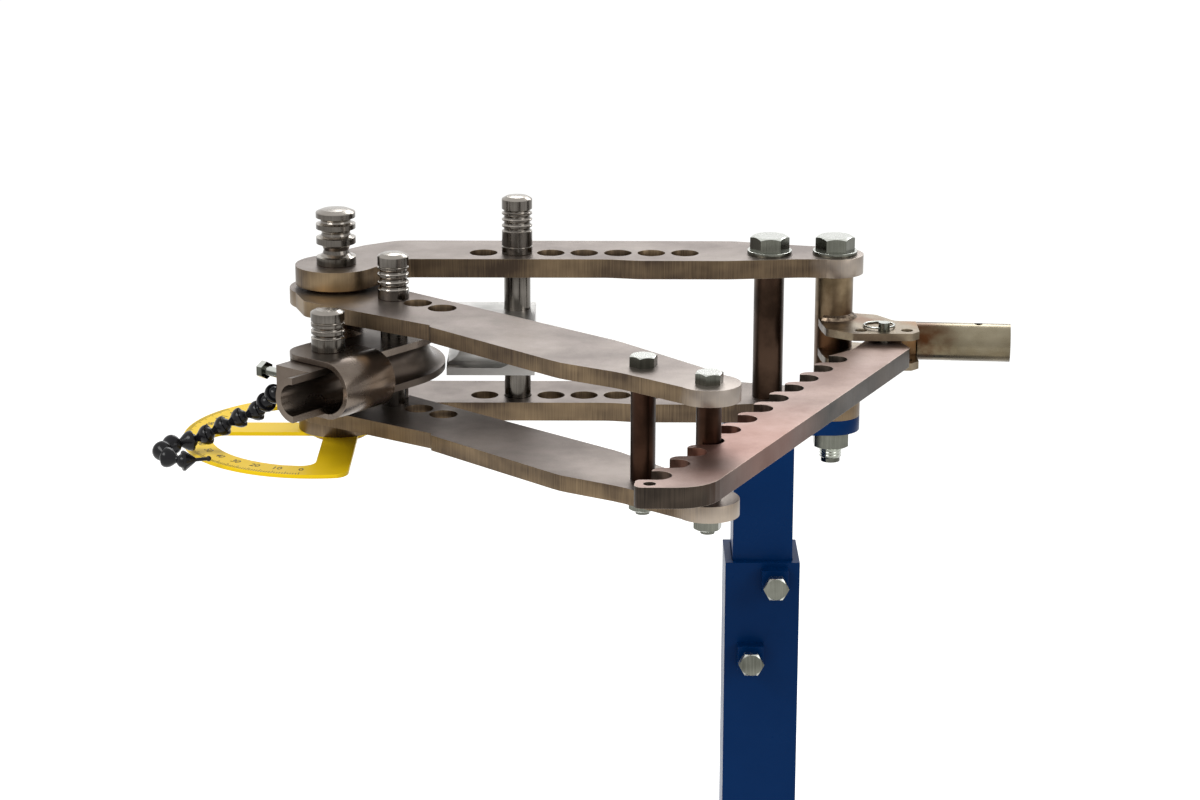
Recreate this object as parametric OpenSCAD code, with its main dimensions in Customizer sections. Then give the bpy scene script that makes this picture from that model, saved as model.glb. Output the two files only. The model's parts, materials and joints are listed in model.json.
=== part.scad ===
// Ratcheting tube bender on a free-standing pedestal.
// Two long frame plates lie on the pedestal. A swing arm of two plates turns on the king pin between
// them, and carries the grooved bending die. A hooked ratchet bar joins the lever to the outer post.
// Origin: on the floor at the axis of the pedestal. X is to the right, Y to the back, Z up.

/* [Pedestal] */
// Height of the top of the upper frame plate above the floor
top_h = 965; // [860:1:1080]
// Side of the square base plate
base_w = 460; // [400:5:560]
// Thickness of the base plate
base_t = 10; // [6:0.5:16]
// Corner radius of the base plate
base_corner_r = 25; // [5:1:50]
// Diameter of the floor anchor holes
anchor_d = 14; // [8:0.5:20]
// Distance of each anchor hole from the edges of the base plate
anchor_inset = 38; // [25:1:60]
// Length of each gusset along the base plate
gusset_l = 120; // [60:1:160]
// Height of each gusset
gusset_h = 140; // [60:1:220]
// Thickness of the gussets
gusset_t = 8; // [4:0.5:12]
// Side of the square inner post
post_w = 50.8; // [46:0.1:60]
// Wall of the inner post
post_wall = 4.8; // [2.5:0.1:4.9]
// Length of the inner post that shows above the sleeve
post_show = 110.5; // [104:0.5:220]
// Length of the inner post inside the sleeve
post_in = 400; // [260:5:500]
// Wall of the outer sleeve
sleeve_wall = 6; // [3:0.1:10]
// Play between post and sleeve on each side
post_play = 0.35; // [0.1:0.05:0.8]
// Thread diameter of the two height lock bolts
lock_d = 12.7; // [8:0.1:16]
// Side of the square nuts welded to the sleeve
lock_nut_w = 22; // [20:0.5:28]
// Thickness of the square nuts
lock_nut_t = 11; // [8:0.5:16]
// Free shank of a lock bolt between nut and head
lock_out = 8; // [5:0.5:20]
// Distance of the upper lock bolt below the mouth of the sleeve
lock_drop = 15; // [14:0.5:30]
// Distance between the two lock bolts
lock_pitch = 68; // [50:1:100]
// Sideways place of the upper lock bolt
lock_side_upper = 10.5; // [0:0.5:14]
// Sideways place of the lower lock bolt, to the other side
lock_side_lower = 9.5; // [0:0.5:14]
// Thickness of the plate that joins pedestal and frame
cap_t = 12.7; // [8:0.1:20]
// Width of that plate
cap_w = 48; // [44:0.5:60]
// Reach of that plate beyond the stand bolt
cap_reach = 37.7; // [34:0.1:60]

/* [Frame plates] */
// Thickness of each frame plate
frame_t = 15.9; // [10:0.1:20]
// Distance from the king pin to the stand bolt along the plates
stand_bolt_x = 359.7; // [350:0.1:380]
// Distance from the stand bolt to the lever's pivot bolt
bolt_pitch = 54.8; // [50:0.1:70]
// Distance of the pedestal's axis from the stand bolt
stand_offset = 3; // [0:0.1:4]
// Distance of the row of holes behind the king pin
hole_line = 41; // [38:0.1:48]
// Distance from the king pin to the first hole
hole_first = 120; // [116:0.1:126]
// Spacing of the holes
hole_pitch = 28.1; // [26:0.1:29.5]
// Number of holes in the row
hole_count = 7; // [3:1:7]
// Hole that takes the follow pin, counted from the king pin
follow_hole = 2; // [1:1:2]
// Diameter of the loose pin holes in the plates
pin_hole_d = 23.3; // [22.6:0.1:26]
// Radius of the nose around the king pin
nose_r = 34; // [32:0.1:37]
// Distance from the row of holes to the front edge
frame_front = 23.5; // [18:0.1:27]
// Distance from the row of holes to the front edge where it is deepest
frame_belly = 28.3; // [24:0.1:32]
// Distance from the row of holes to the back edge
frame_back = 45; // [32:0.1:60]
// Radius of the tail around the pivot bolt
tail_r = 24; // [22:0.1:28]
// Diameter of the two big frame bolts
bolt_d = 19.05; // [16:0.05:22]
// Width across flats of the big bolts
bolt_af = 28.6; // [27:0.1:32]
// Height of the big bolt heads
bolt_head_h = 12; // [8:0.1:16]
// Height of the big nuts
nut_h = 15.5; // [10:0.1:20]
// Thread that stands out below the big nuts
thread_out = 13; // [4:0.5:20]
// Diameter of the washers under the big bolt heads
washer_d = 37.5; // [34:0.5:46]
// Thickness of those washers
washer_t = 3.2; // [2:0.1:4]
// Diameter of the spacer tube between the frame plates
spacer_d = 25.4; // [24:0.1:34]

/* [Swing arm] */
// Thickness of each swing plate
arm_t = 12.7; // [8:0.1:16]
// Clear height between the swing plates
post_l = 76.2; // [70:0.1:90]
// Distance from the king pin to the outer post
arm_len = 419.3; // [412:0.1:426]
// Distance between the two posts
post_pitch = 67.3; // [55:0.1:75]
// Angle of the swing arm in front of the frame plates
arm_angle = 44.7; // [44:0.1:45.5]
// Angle from the arm's axis to its line of holes
line_turn = 5.7; // [5:0.1:7]
// Distance from the king pin to the drive pin
drive_r = 63.5; // [60:0.1:63.9]
// Spacing of the further holes along that line
arm_hole_pitch = 26.5; // [26:0.1:32]
// Number of further holes
arm_hole_count = 2; // [0:1:3]
// Radius of the swing plates around the king pin
arm_disc_r = 39; // [30:0.1:44]
// Depth of the swing plates' heel beside the king pin
arm_heel = 53.2; // [44:0.1:55]
// Half width of the swing plates at mid length
arm_half = 38.9; // [34:0.1:46]
// Radius of the swing plates around the outer post
arm_end_r = 23.8; // [16:0.1:30]
// Outer diameter of the two posts
swing_post_d = 19.05; // [17:0.05:19.5]
// Diameter of the post bolts
swing_bolt_d = 12.7; // [8:0.1:14]
// Width across flats of the post bolts and nuts
swing_bolt_af = 19; // [17:0.1:24]
// Height of the post bolt heads
swing_head_h = 8.4; // [6:0.1:12]
// Height of the post bolts' lock nuts
swing_nut_h = 11.5; // [8:0.1:16]
// Diameter of the thrust washers between frame and swing plates
thrust_d = 50; // [40:0.5:60]
// Thickness of the thrust washers
thrust_t = 3.2; // [2:0.1:6]
// Diameter of the spacers above and below the die
die_spacer_d = 42; // [34:0.1:50]

/* [Bending die] */
// Radius of the bend, from the king pin to the tube's centre line
bend_r = 88.9; // [88.4:0.1:89.6]
// Outer diameter of the tube that the groove takes
tube_d = 25.4; // [20:0.1:25.5]
// Play of the tube in the groove, in radius
tube_play = 0.15; // [0.05:0.05:0.2]
// Thickness of the die
die_t = 37; // [34:0.1:40]
// Angle of the curved groove
die_sweep = 140; // [120:1:150]
// Radius of the die's hub
hub_r = 21; // [18:0.1:36]
// Distance from the king pin to the inner side of the straight block
tang_in = 38; // [32:0.1:42]
// Length of the straight block behind the curve
tang_l = 95; // [93:0.5:99]
// Distance from the king pin to the inner side of the block's narrow end
tang_tip_in = 52; // [46:0.1:55]
// Length of the narrow end
tang_tip_l = 30; // [28:0.5:40]
// Length of the half-round lip beyond the block
lip_l = 20; // [5:0.5:30]
// Wall of the lip
lip_wall = 5.4; // [2:0.1:5.6]
// Diameter of the small bolt in the narrow end
clamp_d = 7.9; // [6:0.1:10]
// Width across flats of its head
clamp_af = 12.7; // [10:0.1:14]
// Height of its head
clamp_head_h = 5.5; // [4:0.1:7]
// Length of that bolt outside the block
clamp_out = 24; // [10:0.5:26]
// Length of that bolt inside the block
clamp_in = 14; // [8:0.5:16]
// Height of that bolt above the middle of the die
clamp_rise = 7; // [5:0.1:8]

/* [Strap] */
// Wall of the U-shaped strap
strap_wall = 4.6; // [3:0.1:5.5]
// Play between strap and die on each side
strap_play = 0.3; // [0.2:0.05:0.5]
// Distance from the king pin to the strap pin, across the tube
strap_pin_x = 64; // [62:0.1:64.2]
// Distance from the king pin to the strap pin, along the tube
strap_pin_y = 78; // [76:0.1:80]
// Strap length from its pin towards the curve
strap_front = 26; // [20:0.5:54]
// Strap length from its pin towards the tube's end
strap_back = 29.5; // [16:0.5:31]
// Reach of the ears beyond the strap pin
strap_ear = 27; // [20:0.5:30]
// Corner radius of the ears
strap_ear_r = 22; // [5:0.5:24]

/* [Pins] */
// Shank diameter of the drive, strap and follow pins
pin_d = 22.2; // [20:0.1:22.3]
// Shank diameter of the king pin
king_d = 25.4; // [24:0.1:26]
// Running play of pins and bores, in radius
run_play = 0.1; // [0.05:0.01:0.1]
// Head diameter of the king pin
king_head_d = 32.7; // [32.2:0.1:36]
// Head height of the king pin
king_head_h = 46.8; // [36:0.1:52]
// Outer diameter of the king pin's bushes
bush_d = 31.75; // [29:0.05:32]
// Flange diameter of the lower bush
bush_flange_d = 44; // [38:0.5:50]
// Flange thickness of the lower bush
bush_flange_t = 3.2; // [2:0.1:5]
// Head diameter of the drive pin
drive_head_d = 25.4; // [24.2:0.1:28]
// Head height of the drive pin
drive_head_h = 38.2; // [30:0.1:45]
// Head diameter of the follow pin
follow_head_d = 25.6; // [24.2:0.1:27]
// Head height of the follow pin
follow_head_h = 49.3; // [36:0.1:54]
// Head diameter of the strap pin
strap_head_d = 27; // [24.2:0.1:29]
// Head height of the strap pin
strap_head_h = 34.2; // [26:0.1:38]
// Length of the pins' chamfers
pin_chamfer = 2; // [0.5:0.1:3]
// Height of the domed end of the pins' heads
pin_dome = 2.4; // [1:0.1:4]

/* [Follow bar] */
// Height of the follow bar
follow_h = 44.4; // [41:0.1:50]
// Gap between the follow bar's face and the bend's centre line
follow_gap = 1.5; // [1.3:0.1:3]
// Length of the follow bar in front of its pin
follow_front = 53; // [50:0.5:55]
// Length of the follow bar behind its pin
follow_rear = 21; // [17:0.5:25]
// Width of the follow bar beyond its pin
follow_heel = 15.4; // [14.5:0.1:20]
// Radius of the second groove, along the front of the follow bar
follow_groove_r = 16; // [10:0.1:18]
// Diameter of the follow bar's set screw
set_screw_d = 9.5; // [6:0.1:12]

/* [Ratchet bar] */
// Thickness of the ratchet bar
bar_t = 15.9; // [12:0.1:17]
// Spacing of the notches
notch_pitch = 32; // [31:0.1:33]
// Number of notches
notch_count = 12; // [10:1:12]
// Notch that holds the outer post, counted from the lever
held_notch = 9; // [9:1:9]
// Lean of the notches from square to the bar
notch_lean = 25.1; // [22:0.1:28]
// Distance from the line of the bar's pin to the line of notches
notch_offset = 16.6; // [14:0.1:20]
// Width of a notch beyond the post's diameter
slot_play = 1.95; // [1.9:0.01:2.2]
// Gap between the post and the near side of its notch
notch_gap = 0.155; // [0.12:0.005:0.17]
// Gap between the post and the end of its notch, beyond the round
slot_ease = 1.3; // [1.26:0.01:1.5]
// Depth of the hooked tips from the middle of a notch
tip_out = 4; // [3:0.1:5]
// Depth of the far side of a notch from its middle
root_out = 9; // [8:0.1:11]
// Distance from the notches' middles to the bar's back edge
bar_back = 43.9; // [38:0.1:48]
// Radius of the bar's lug
lug_r = 15; // [12:0.1:16]
// Length of the bar's neck below the lug
neck_l = 34.8; // [30:0.1:38]
// Length of the bar beyond the last notch
bar_end_l = 29.2; // [24:0.1:36]
// Width of the bar's foot beyond the last notch
bar_foot = 17.6; // [12:0.1:20]
// Corner radius at the end of the bar's back
bar_end_r = 35; // [10:0.5:40]
// Diameter of the small hole at the bar's end
bar_hole_d = 9.1; // [6:0.1:11]

/* [Lever] */
// Outer diameter of the pivot tube and of the handle socket
socket_d = 31.75; // [31:0.05:33]
// Bore of the handle socket
socket_bore_d = 25.9; // [22:0.1:27]
// Length of the handle socket
socket_l = 78.5; // [50:0.5:120]
// Length of the wider part at the handle socket's inner end
relief_l = 3; // [2:0.5:8]
// Depth of this wider part in the socket's wall
relief_depth = 1.2; // [0.5:0.1:2]
// Turn of the handle socket
socket_turn = 5; // [0:0.5:8]
// Diameter of the cross hole in the handle socket
socket_hole_d = 7; // [4:0.1:10]
// Distance of the cross hole from the lever plates
socket_hole_x = 52; // [30:0.5:60]
// Thickness of the two lever plates
lever_t = 6.35; // [5:0.05:8]
// Reach of the lever plates from the pivot, to the right
lever_reach = 67.5; // [66:0.1:72]
// Reach of the lever plates from the pivot, to the front
lever_drop = 59; // [57:0.1:66]
// Distance of the row of three holes in front of the pivot
lever_hole_y = 48; // [47.5:0.1:48.5]
// Distance from the pivot to the middle hole, to the right
lever_hole_x = 38.4; // [38:0.1:39]
// Spacing of the three holes
lever_hole_pitch = 19.05; // [17:0.05:21]
// Diameter of the clevis pin
clevis_d = 9.5; // [8:0.1:11]
// Head diameter of the clevis pin
clevis_head_d = 14.5; // [12:0.1:16]
// Head height of the clevis pin
clevis_head_h = 3; // [2:0.1:5]
// Length of the clevis pin above the upper lever plate
clevis_out = 7; // [5:0.1:9]
// Outer diameter of the split ring
ring_pin_d = 27; // [20:0.5:30]
// Wire diameter of the split ring
ring_wire_d = 1.8; // [1:0.1:2]
// Leg of the weld beads
weld_leg = 4; // [2:0.1:5]

/* [Degree ring] */
// Outer radius of the degree ring
ring_r_out = 116.5; // [110:0.5:122]
// Width of its scale
ring_w = 23.4; // [16:0.1:28]
// Distance of the degree ring's middle to the left of the king pin
ring_left = 11.5; // [0:0.5:16]
// Distance of the degree ring's middle in front of the king pin
ring_front = 21.5; // [0:0.5:24]
// Thickness of the degree ring
ring_t = 3.2; // [1.5:0.1:5]
// Width of the ring's side arm
ring_side_w = 29; // [14:0.5:34]
// Width of the ring's front arm
ring_front_w = 28; // [20:0.5:36]
// Radius of the ring's hub
ring_hub_r = 28; // [24:0.5:32]

/* [Ball hose] */
// Outer diameter of the hose's sockets
hose_d = 16.5; // [15.5:0.1:17]
// Diameter of its balls
ball_d = 12; // [11.6:0.1:12.2]
// Play of a ball in its socket, in radius
ball_play = 0.15; // [0.1:0.05:0.2]
// Distance from ball to ball
hose_pitch = 15.9; // [15.5:0.1:16.2]
// Diameter of the hose's bore
hose_bore_d = 3.2; // [2:0.1:3.6]
// Length of the pointer from its ball joint to its tip
pointer_l = 20; // [16:0.5:24]
// Diameter of the pointer's rod
pointer_d = 3; // [2:0.1:4]

/* [Hidden] */
$fn = 64;
// Fineness of a cut hexagon, and the turn covered by one side of a rounded corner
hex = 6;
corner_step = 11;
// Overrun of a cut past a face
over = 1;
// Gap of faces that turn or slide on each other, and of welded or pressed fits
turn_gap = 0.1;
fit_gap = 0.05;

// Heights below the top of the upper frame plate
z_frame_low = -frame_t;
z_arm_top = z_frame_low - thrust_t;
z_arm_low = z_arm_top - arm_t;
z_mid = z_arm_low - post_l / 2;
z_arm2_top = z_arm_low - post_l;
z_arm2_low = z_arm2_top - arm_t;
z_frame2_top = z_arm2_low - thrust_t;
z_frame2_low = z_frame2_top - frame_t;
z_cap_low = z_frame2_low - cap_t;
z_ring_top = z_frame2_low - turn_gap;
z_ring_low = z_ring_top - ring_t;
z_flange = z_ring_low - turn_gap;

// Pedestal
sleeve_w = post_w + 2 * (post_play + sleeve_wall);
z_sleeve = z_cap_low - post_show;
sleeve_l = top_h + z_sleeve - base_t;
king_x = stand_bolt_x - stand_offset;
lock_head_share = 0.62;
lock_af_share = 1.5;
lock_head_h = lock_d * lock_head_share;
lock_af = lock_d * lock_af_share;

// Frame
pivot_x = stand_bolt_x + bolt_pitch;
follow_x = hole_first + (follow_hole - 1) * hole_pitch;
nose_front_turn = 322;
nose_back_turn = 125;
frame_x_shares = [0.1375, 0.543, 0.603, 0.784, 0.929, 0.796, 0.109, 0.043];
frame_round_shares = [0.35, 0.9, 1.3, 0.55];
// Outlines start and end this far out in the round ends that they join
sunk_share = 0.96;

// Swing arm
arm_x_shares = [0.051, 0.357, 0.3645, 0.718, 0.842, 0.913, 0.689, 0.119];
arm_y_shares = [-0.833, -0.925, -1, -0.694, 0.72, 0.98, 0.77];
arm_disc_turns = [95, 241];
arm_round_shares = [0.36, 0.08, 1.5, 1.5, 1];
post_in_r = arm_len - post_pitch;
outer_post = [arm_len * cos(arm_angle), -arm_len * sin(arm_angle)];
die_angle = arm_angle - line_turn;

// Die
groove_r = tube_d / 2 + tube_play;
die_spacer_h = (post_l - die_t) / 2;
tang_end = tang_l + tang_tip_l;
clamp_y = tang_l + tang_tip_l * 0.55;
strap_in_r = die_t / 2 + strap_play;
strap_out_r = strap_in_r + strap_wall;
pin_bore_d = pin_d + 2 * run_play;
king_bore_d = king_d + 2 * run_play;

// Lever and ratchet bar
pivot = [pivot_x, hole_line];
bar_pin = pivot + [lever_hole_x, -lever_hole_y];
slot_w = swing_post_d + slot_play;
slot_drop = slot_play / 2 - notch_gap;
held_slot = outer_post + [slot_ease, -slot_drop];
pin_to_slot = held_slot - bar_pin;
bar_turn = atan2(pin_to_slot[1], pin_to_slot[0]) + asin(notch_offset / norm(pin_to_slot)) + 90;
slot_start = sqrt(pow(norm(pin_to_slot), 2) - pow(notch_offset, 2)) - (held_notch - 1) * notch_pitch;
socket_low = z_mid - socket_d / 2;
fork_gap = socket_d - 2 * lever_t;
z_fork_low = z_mid - fork_gap / 2;
z_bar_low = z_fork_low + turn_gap;
lean_out = [-cos(notch_lean), -sin(notch_lean)];
lean_up = [-sin(notch_lean), cos(notch_lean)];

// Ball hose: heading and dip of each link and of the pointer, from the die on
hose_turns = [[129, 38], [129, 38], [172, 24], [173, 28], [174, 30], [167, 23], [205, 5], [248, 3], [291, 3],
    [334, 3], [17, 0]];
hose_seat_share = 0.75;
hose_neck_share = 0.48;
hose_lip_share = 0.25;

// A rounded outline: each row is a corner's place and its radius
function unit(v) = v / norm(v);
function xy(p) = [p[0], p[1]];
function corner(p, q, s, r) =
    r <= 0 ? [q] :
    let (a = unit(p - q), b = unit(s - q))
    let (half = acos(a * b) / 2, reach = r / tan(half), mid = q + unit(a + b) * r / sin(half))
    let (f = q + a * reach - mid, g = q + b * reach - mid)
    let (f_turn = atan2(f[1], f[0]), g_turn = atan2(g[1], g[0]))
    let (turn = (g_turn - f_turn + 540) % 360 - 180, n = max(1, ceil(abs(turn) / corner_step)))
    [for (i = [0:n]) mid + r * [cos(f_turn + turn * i / n), sin(f_turn + turn * i / n)]];
function rounded(rows) =
    let (n = len(rows))
    [for (i = [0:n - 1])
        each corner(xy(rows[(i + n - 1) % n]), xy(rows[i]), xy(rows[(i + 1) % n]), rows[i][2])];
function on_circle(r, turn) = [r * cos(turn), r * sin(turn), 0];

// Places the king pin's frame, the swing arm's frame and the die's frame
module at_king() { translate([-king_x, -hole_line, top_h]) children(); }
module at_arm() { at_king() rotate([0, 0, -arm_angle]) children(); }
module at_die() { at_king() rotate([0, 0, -die_angle]) translate([0, 0, z_mid]) children(); }
module at_pivot() { at_king() translate(pivot) children(); }

// A plate with its top face at height z
module slab(z, t) { translate([0, 0, z - t]) linear_extrude(t) children(); }

// A round cut or rod from height low to height high
module rod(d, low, high) { translate([0, 0, low]) cylinder(d = d, h = high - low); }

// A ring with its lower face at zero
module collar(d, bore, h) {
    difference() {
        cylinder(d = d, h = h);
        translate([0, 0, -over]) cylinder(d = bore, h = h + 2 * over);
    }
}

// A hexagon head or nut with flats along X
module hex_block(af, h) { cylinder(d = af / cos(180 / hex), h = h, $fn = hex); }

// A turned pin: the head stands on zero and the shank hangs below it.
// Each groove row holds its middle and half width as shares of the head's height, and its depth as a
// share of the head's radius.
module turned_pin(head_d, head_h, shank_d, shank_l, grooves) {
    hr = head_d / 2;
    sr = shank_d / 2;
    c = pin_chamfer;
    rim = head_h - pin_dome;
    rotate_extrude() polygon(concat(
        [[0, -shank_l], [sr - c, -shank_l], [sr, c - shank_l], [sr, 0], [hr - c / 4, 0], [hr, c / 4]],
        [for (g = grooves) for (t = [-90:30:90])
            [hr - hr * g[2] * cos(t), head_h * (g[0] + g[1] * sin(t))]],
        [[hr, rim - c / 3], [hr - c / 3, rim]],
        [for (t = [45, 70, 90]) [hr * cos(t), rim + pin_dome * sin(t)]]));
}

// Frame plate outline around the king pin
function frame_outline() =
    let (front = hole_line - frame_front, belly = hole_line - frame_belly, back = hole_line + frame_back)
    let (x = frame_x_shares * pivot_x, r = frame_round_shares * nose_r)
    rounded([
        on_circle(nose_r * sunk_share, nose_front_turn),
        [x[0], front, r[0]],
        [x[1], front, r[1]],
        [x[2], belly, r[1]],
        [x[3], belly, r[2]],
        [x[4], hole_line - tail_r + tail_r / 8, r[2]],
        [pivot_x, hole_line - tail_r * sunk_share, 0],
        [pivot_x, hole_line + tail_r * sunk_share, 0],
        [x[4], hole_line + tail_r + tail_r / 4, r[2]],
        [x[5], back, r[2]],
        [x[6], back, r[1]],
        [x[7], back - nose_r * frame_round_shares[3], r[3]],
        on_circle(nose_r * sunk_share, nose_back_turn)]);

module frame_plate(z) {
    difference() {
        slab(z, frame_t) union() {
            polygon(frame_outline());
            circle(r = nose_r);
            translate(pivot) circle(r = tail_r);
        }
        rod(bush_d + 2 * fit_gap, z - frame_t - over, z + over);
        for (i = [0:hole_count - 1]) translate([hole_first + i * hole_pitch, hole_line])
            rod(pin_hole_d, z - frame_t - over, z + over);
        for (x = [stand_bolt_x, pivot_x]) translate([x, hole_line])
            rod(bolt_d + 2 * run_play, z - frame_t - over, z + over);
    }
}

// Swing plate outline with the king pin at zero and the posts along X
function arm_outline() =
    let (x = arm_x_shares * arm_len, y = arm_y_shares * arm_half, r = arm_round_shares * arm_disc_r)
    rounded([
        on_circle(arm_disc_r * sunk_share, arm_disc_turns[0]),
        on_circle(arm_disc_r * sunk_share, arm_disc_turns[1]),
        [x[0], -arm_heel, r[0]],
        [x[1], y[0], r[1]],
        [x[2], y[1], r[1]],
        [x[3], y[2], r[2]],
        [x[4], y[3], r[3]],
        [arm_len, -arm_end_r * sunk_share, 0],
        [arm_len, arm_end_r * sunk_share, 0],
        [x[5], y[4], r[3]],
        [x[6], y[5], r[2]],
        [x[7], y[6], r[4]]]);

module swing_plate(z) {
    difference() {
        slab(z, arm_t) union() {
            polygon(arm_outline());
            circle(r = arm_disc_r);
            translate([arm_len, 0]) circle(r = arm_end_r);
        }
        rod(king_bore_d, z - arm_t - over, z + over);
        rotate([0, 0, line_turn]) {
            translate([drive_r, 0]) rod(pin_bore_d, z - arm_t - over, z + over);
            for (i = [1:1:arm_hole_count]) translate([drive_r + i * arm_hole_pitch, 0])
                rod(pin_hole_d, z - arm_t - over, z + over);
        }
        for (x = [post_in_r, arm_len]) translate([x, 0])
            rod(swing_bolt_d + 2 * fit_gap, z - arm_t - over, z + over);
    }
}

// Ratchet bar in its own frame: its pin at zero, the notches along minus Y
function slot_at(i) = [-notch_offset, -slot_start - i * notch_pitch];
function tip_at(i) = slot_at(i) + lean_out * tip_out + lean_up * slot_w / 2;
function root_at(i) = slot_at(i) + lean_out * root_out - lean_up * slot_w / 2;
function tooth_back(i) =
    let (a = root_at(i), b = tip_at(i + 1))
    let (rise = (a - b) * lean_up, run = (b - a) * lean_out, mid = a - lean_up * rise)
    [for (t = [0:15:90]) mid + lean_up * rise * cos(t) + lean_out * run * sin(t)];
module bar_blank() {
    edge = bar_back - notch_offset;
    last = slot_at(notch_count - 1);
    foot = last + lean_out * bar_foot - lean_up * bar_end_l;
    lip = last + lean_out * (bar_foot - lug_r / 8) - lean_up * slot_w / 2;
    heel = [edge, foot[1] + (edge - foot[0]) * lean_out[1] / lean_out[0]];
    neck = [[-lug_r * 0.92, -neck_l, lug_r * 0.6]];
    back = [
        [foot[0], foot[1], lug_r * 0.4],
        [heel[0], heel[1], bar_end_r],
        [edge, -lug_r * 0.72, lug_r * 0.6],
        [lug_r * 0.95, lug_r * 0.2, 0]];
    teeth = [for (i = [0:notch_count - 2]) each concat([tip_at(i), slot_at(i)], tooth_back(i))];
    ends = concat([tip_at(notch_count - 1), slot_at(notch_count - 1)], [root_at(notch_count - 1)]);
    rows = concat(
        [[-lug_r * 0.98, -lug_r * 0.2, 0]], neck,
        [for (p = concat(teeth, ends)) [p[0], p[1], 0]],
        [[lip[0], lip[1], lug_r * 0.3]], back);
    polygon(rounded(rows));
    circle(r = lug_r);
}

// One link of the ball hose: its socket around zero, its own ball at the pitch.
// The pointer is such a link with a rod and a round tip in place of the ball.
module hose_link(pointed) {
    br = ball_d / 2;
    hr = hose_d / 2;
    sr = br + ball_play;
    lip = br * hose_lip_share;
    neck = pointed ? pointer_d / 2 : br * hose_neck_share;
    waist = hose_pitch - br * 1.08;
    far = pointed ? pointer_l : hose_pitch;
    rotate_extrude($fn = 32) difference() {
        union() {
            intersection() {
                translate([0, far]) circle(r = pointed ? pointer_d * 0.75 : br, $fn = 48);
                translate([0, far - br]) square([br, br * (pointed ? 1.3 : 1.75)]);
            }
            square([neck, far - br / 8]);
            polygon([[0, -lip], [hr - br / 8, -lip], [hr, br / 8 - lip], [hr, br / 8], [neck + br / 20, waist], [0, waist]]);
        }
        circle(r = sr, $fn = 48);
        translate([0, -hose_d]) square([hose_bore_d / (pointed ? 4 : 2), hose_d + 2 * hose_pitch]);
    }
}

function hose_step(i) =
    let (h = hose_turns[i][0], d = hose_turns[i][1])
    hose_pitch * [cos(d) * cos(h), cos(d) * sin(h), -sin(d)];
function hose_at(i) = i <= 0 ? hose_start : hose_at(i - 1) + hose_step(i - 1);
hose_y = tang_l + tang_tip_l * 0.533;
hose_drop = die_t * 0.3;
hose_seat = ball_d * hose_seat_share;
hose_reach = hose_seat + ball_d * 0.633;
hose_root = [
    tang_tip_in * cos(die_angle) - hose_y * sin(die_angle),
    -tang_tip_in * sin(die_angle) - hose_y * cos(die_angle),
    z_mid - hose_drop];
hose_start = hose_root + hose_reach * [-cos(die_angle), sin(die_angle), 0];
hose_links = len(hose_turns) - 1;

module base_plate() color("#12407c") {
    far = base_w / 2 - anchor_inset;
    difference() {
        linear_extrude(base_t) polygon(rounded([
            [-base_w / 2, -base_w / 2, base_corner_r],
            [base_w / 2, -base_w / 2, base_corner_r],
            [base_w / 2, base_w / 2, base_corner_r],
            [-base_w / 2, base_w / 2, base_corner_r]]));
        for (x = [-far, far], y = [-far, far]) translate([x, y]) rod(anchor_d, -over, base_t + over);
    }
}

module base_gussets() color("#12407c")
    for (turn = [0:90:270]) rotate([0, 0, turn])
        translate([sleeve_w / 2, gusset_t / 2, base_t]) rotate([90, 0, 0]) linear_extrude(gusset_t)
            polygon([[0, 0], [gusset_l, 0], [gusset_l, gusset_t], [gusset_t, gusset_h], [0, gusset_h]]);

module outer_sleeve() color("#0b3a75") difference() {
    translate([-sleeve_w / 2, -sleeve_w / 2, base_t]) cube([sleeve_w, sleeve_w, sleeve_l]);
    translate([0, 0, base_t - over]) linear_extrude(sleeve_l + 2 * over)
        square(sleeve_w - 2 * sleeve_wall, center = true);
    at_lock(lock_side_upper, 0) rod(lock_d + 2 * fit_gap, -sleeve_wall * 2, sleeve_wall);
    at_lock(-lock_side_lower, lock_pitch) rod(lock_d + 2 * fit_gap, -sleeve_wall * 2, sleeve_wall);
}

// A lock bolt's frame: zero on the sleeve's front face, Z pointing away from the post
module at_lock(x, down) {
    translate([x, -sleeve_w / 2, top_h + z_sleeve - lock_drop - down]) rotate([90, 0, 0]) children();
}

module lock_nuts() color("#0b3a75") for (p = [[lock_side_upper, 0], [-lock_side_lower, lock_pitch]])
    at_lock(p[0], p[1]) difference() {
        translate([-lock_nut_w / 2, -lock_nut_w / 2, 0]) cube([lock_nut_w, lock_nut_w, lock_nut_t]);
        rod(lock_d + 2 * fit_gap, -over, lock_nut_t + over);
    }

module lock_bolt() {
    rod(lock_d, turn_gap - sleeve_wall - post_play, lock_nut_t + lock_out);
    translate([0, 0, lock_nut_t + lock_out]) hex_block(lock_af, lock_head_h);
}

module lock_bolt_upper() color("#b9bcc0") at_lock(lock_side_upper, 0) lock_bolt();
module lock_bolt_lower() color("#b9bcc0") at_lock(-lock_side_lower, lock_pitch) lock_bolt();

module inner_post() color("#12407c") difference() {
    post_h = post_show + post_in;
    translate([-post_w / 2, -post_w / 2, top_h + z_cap_low - post_h]) cube([post_w, post_w, post_h]);
    translate([0, 0, top_h + z_cap_low - post_h - over]) linear_extrude(post_h + 2 * over)
        square(post_w - 2 * post_wall, center = true);
}

module cap_plate() color("#12407c") at_king() difference() {
    slab(z_frame2_low, cap_t) union() {
        translate([stand_bolt_x - cap_reach, hole_line - cap_w / 2]) square([cap_reach + bolt_pitch, cap_w]);
        translate(pivot) circle(d = cap_w);
    }
    for (x = [stand_bolt_x, pivot_x]) translate([x, hole_line])
        rod(bolt_d + 2 * run_play, z_cap_low - over, z_frame2_low + over);
}

module upper_frame_plate() color("#8a8078") at_king() frame_plate(0);
module lower_frame_plate() color("#8a8078") at_king() frame_plate(z_frame2_top);

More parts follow.
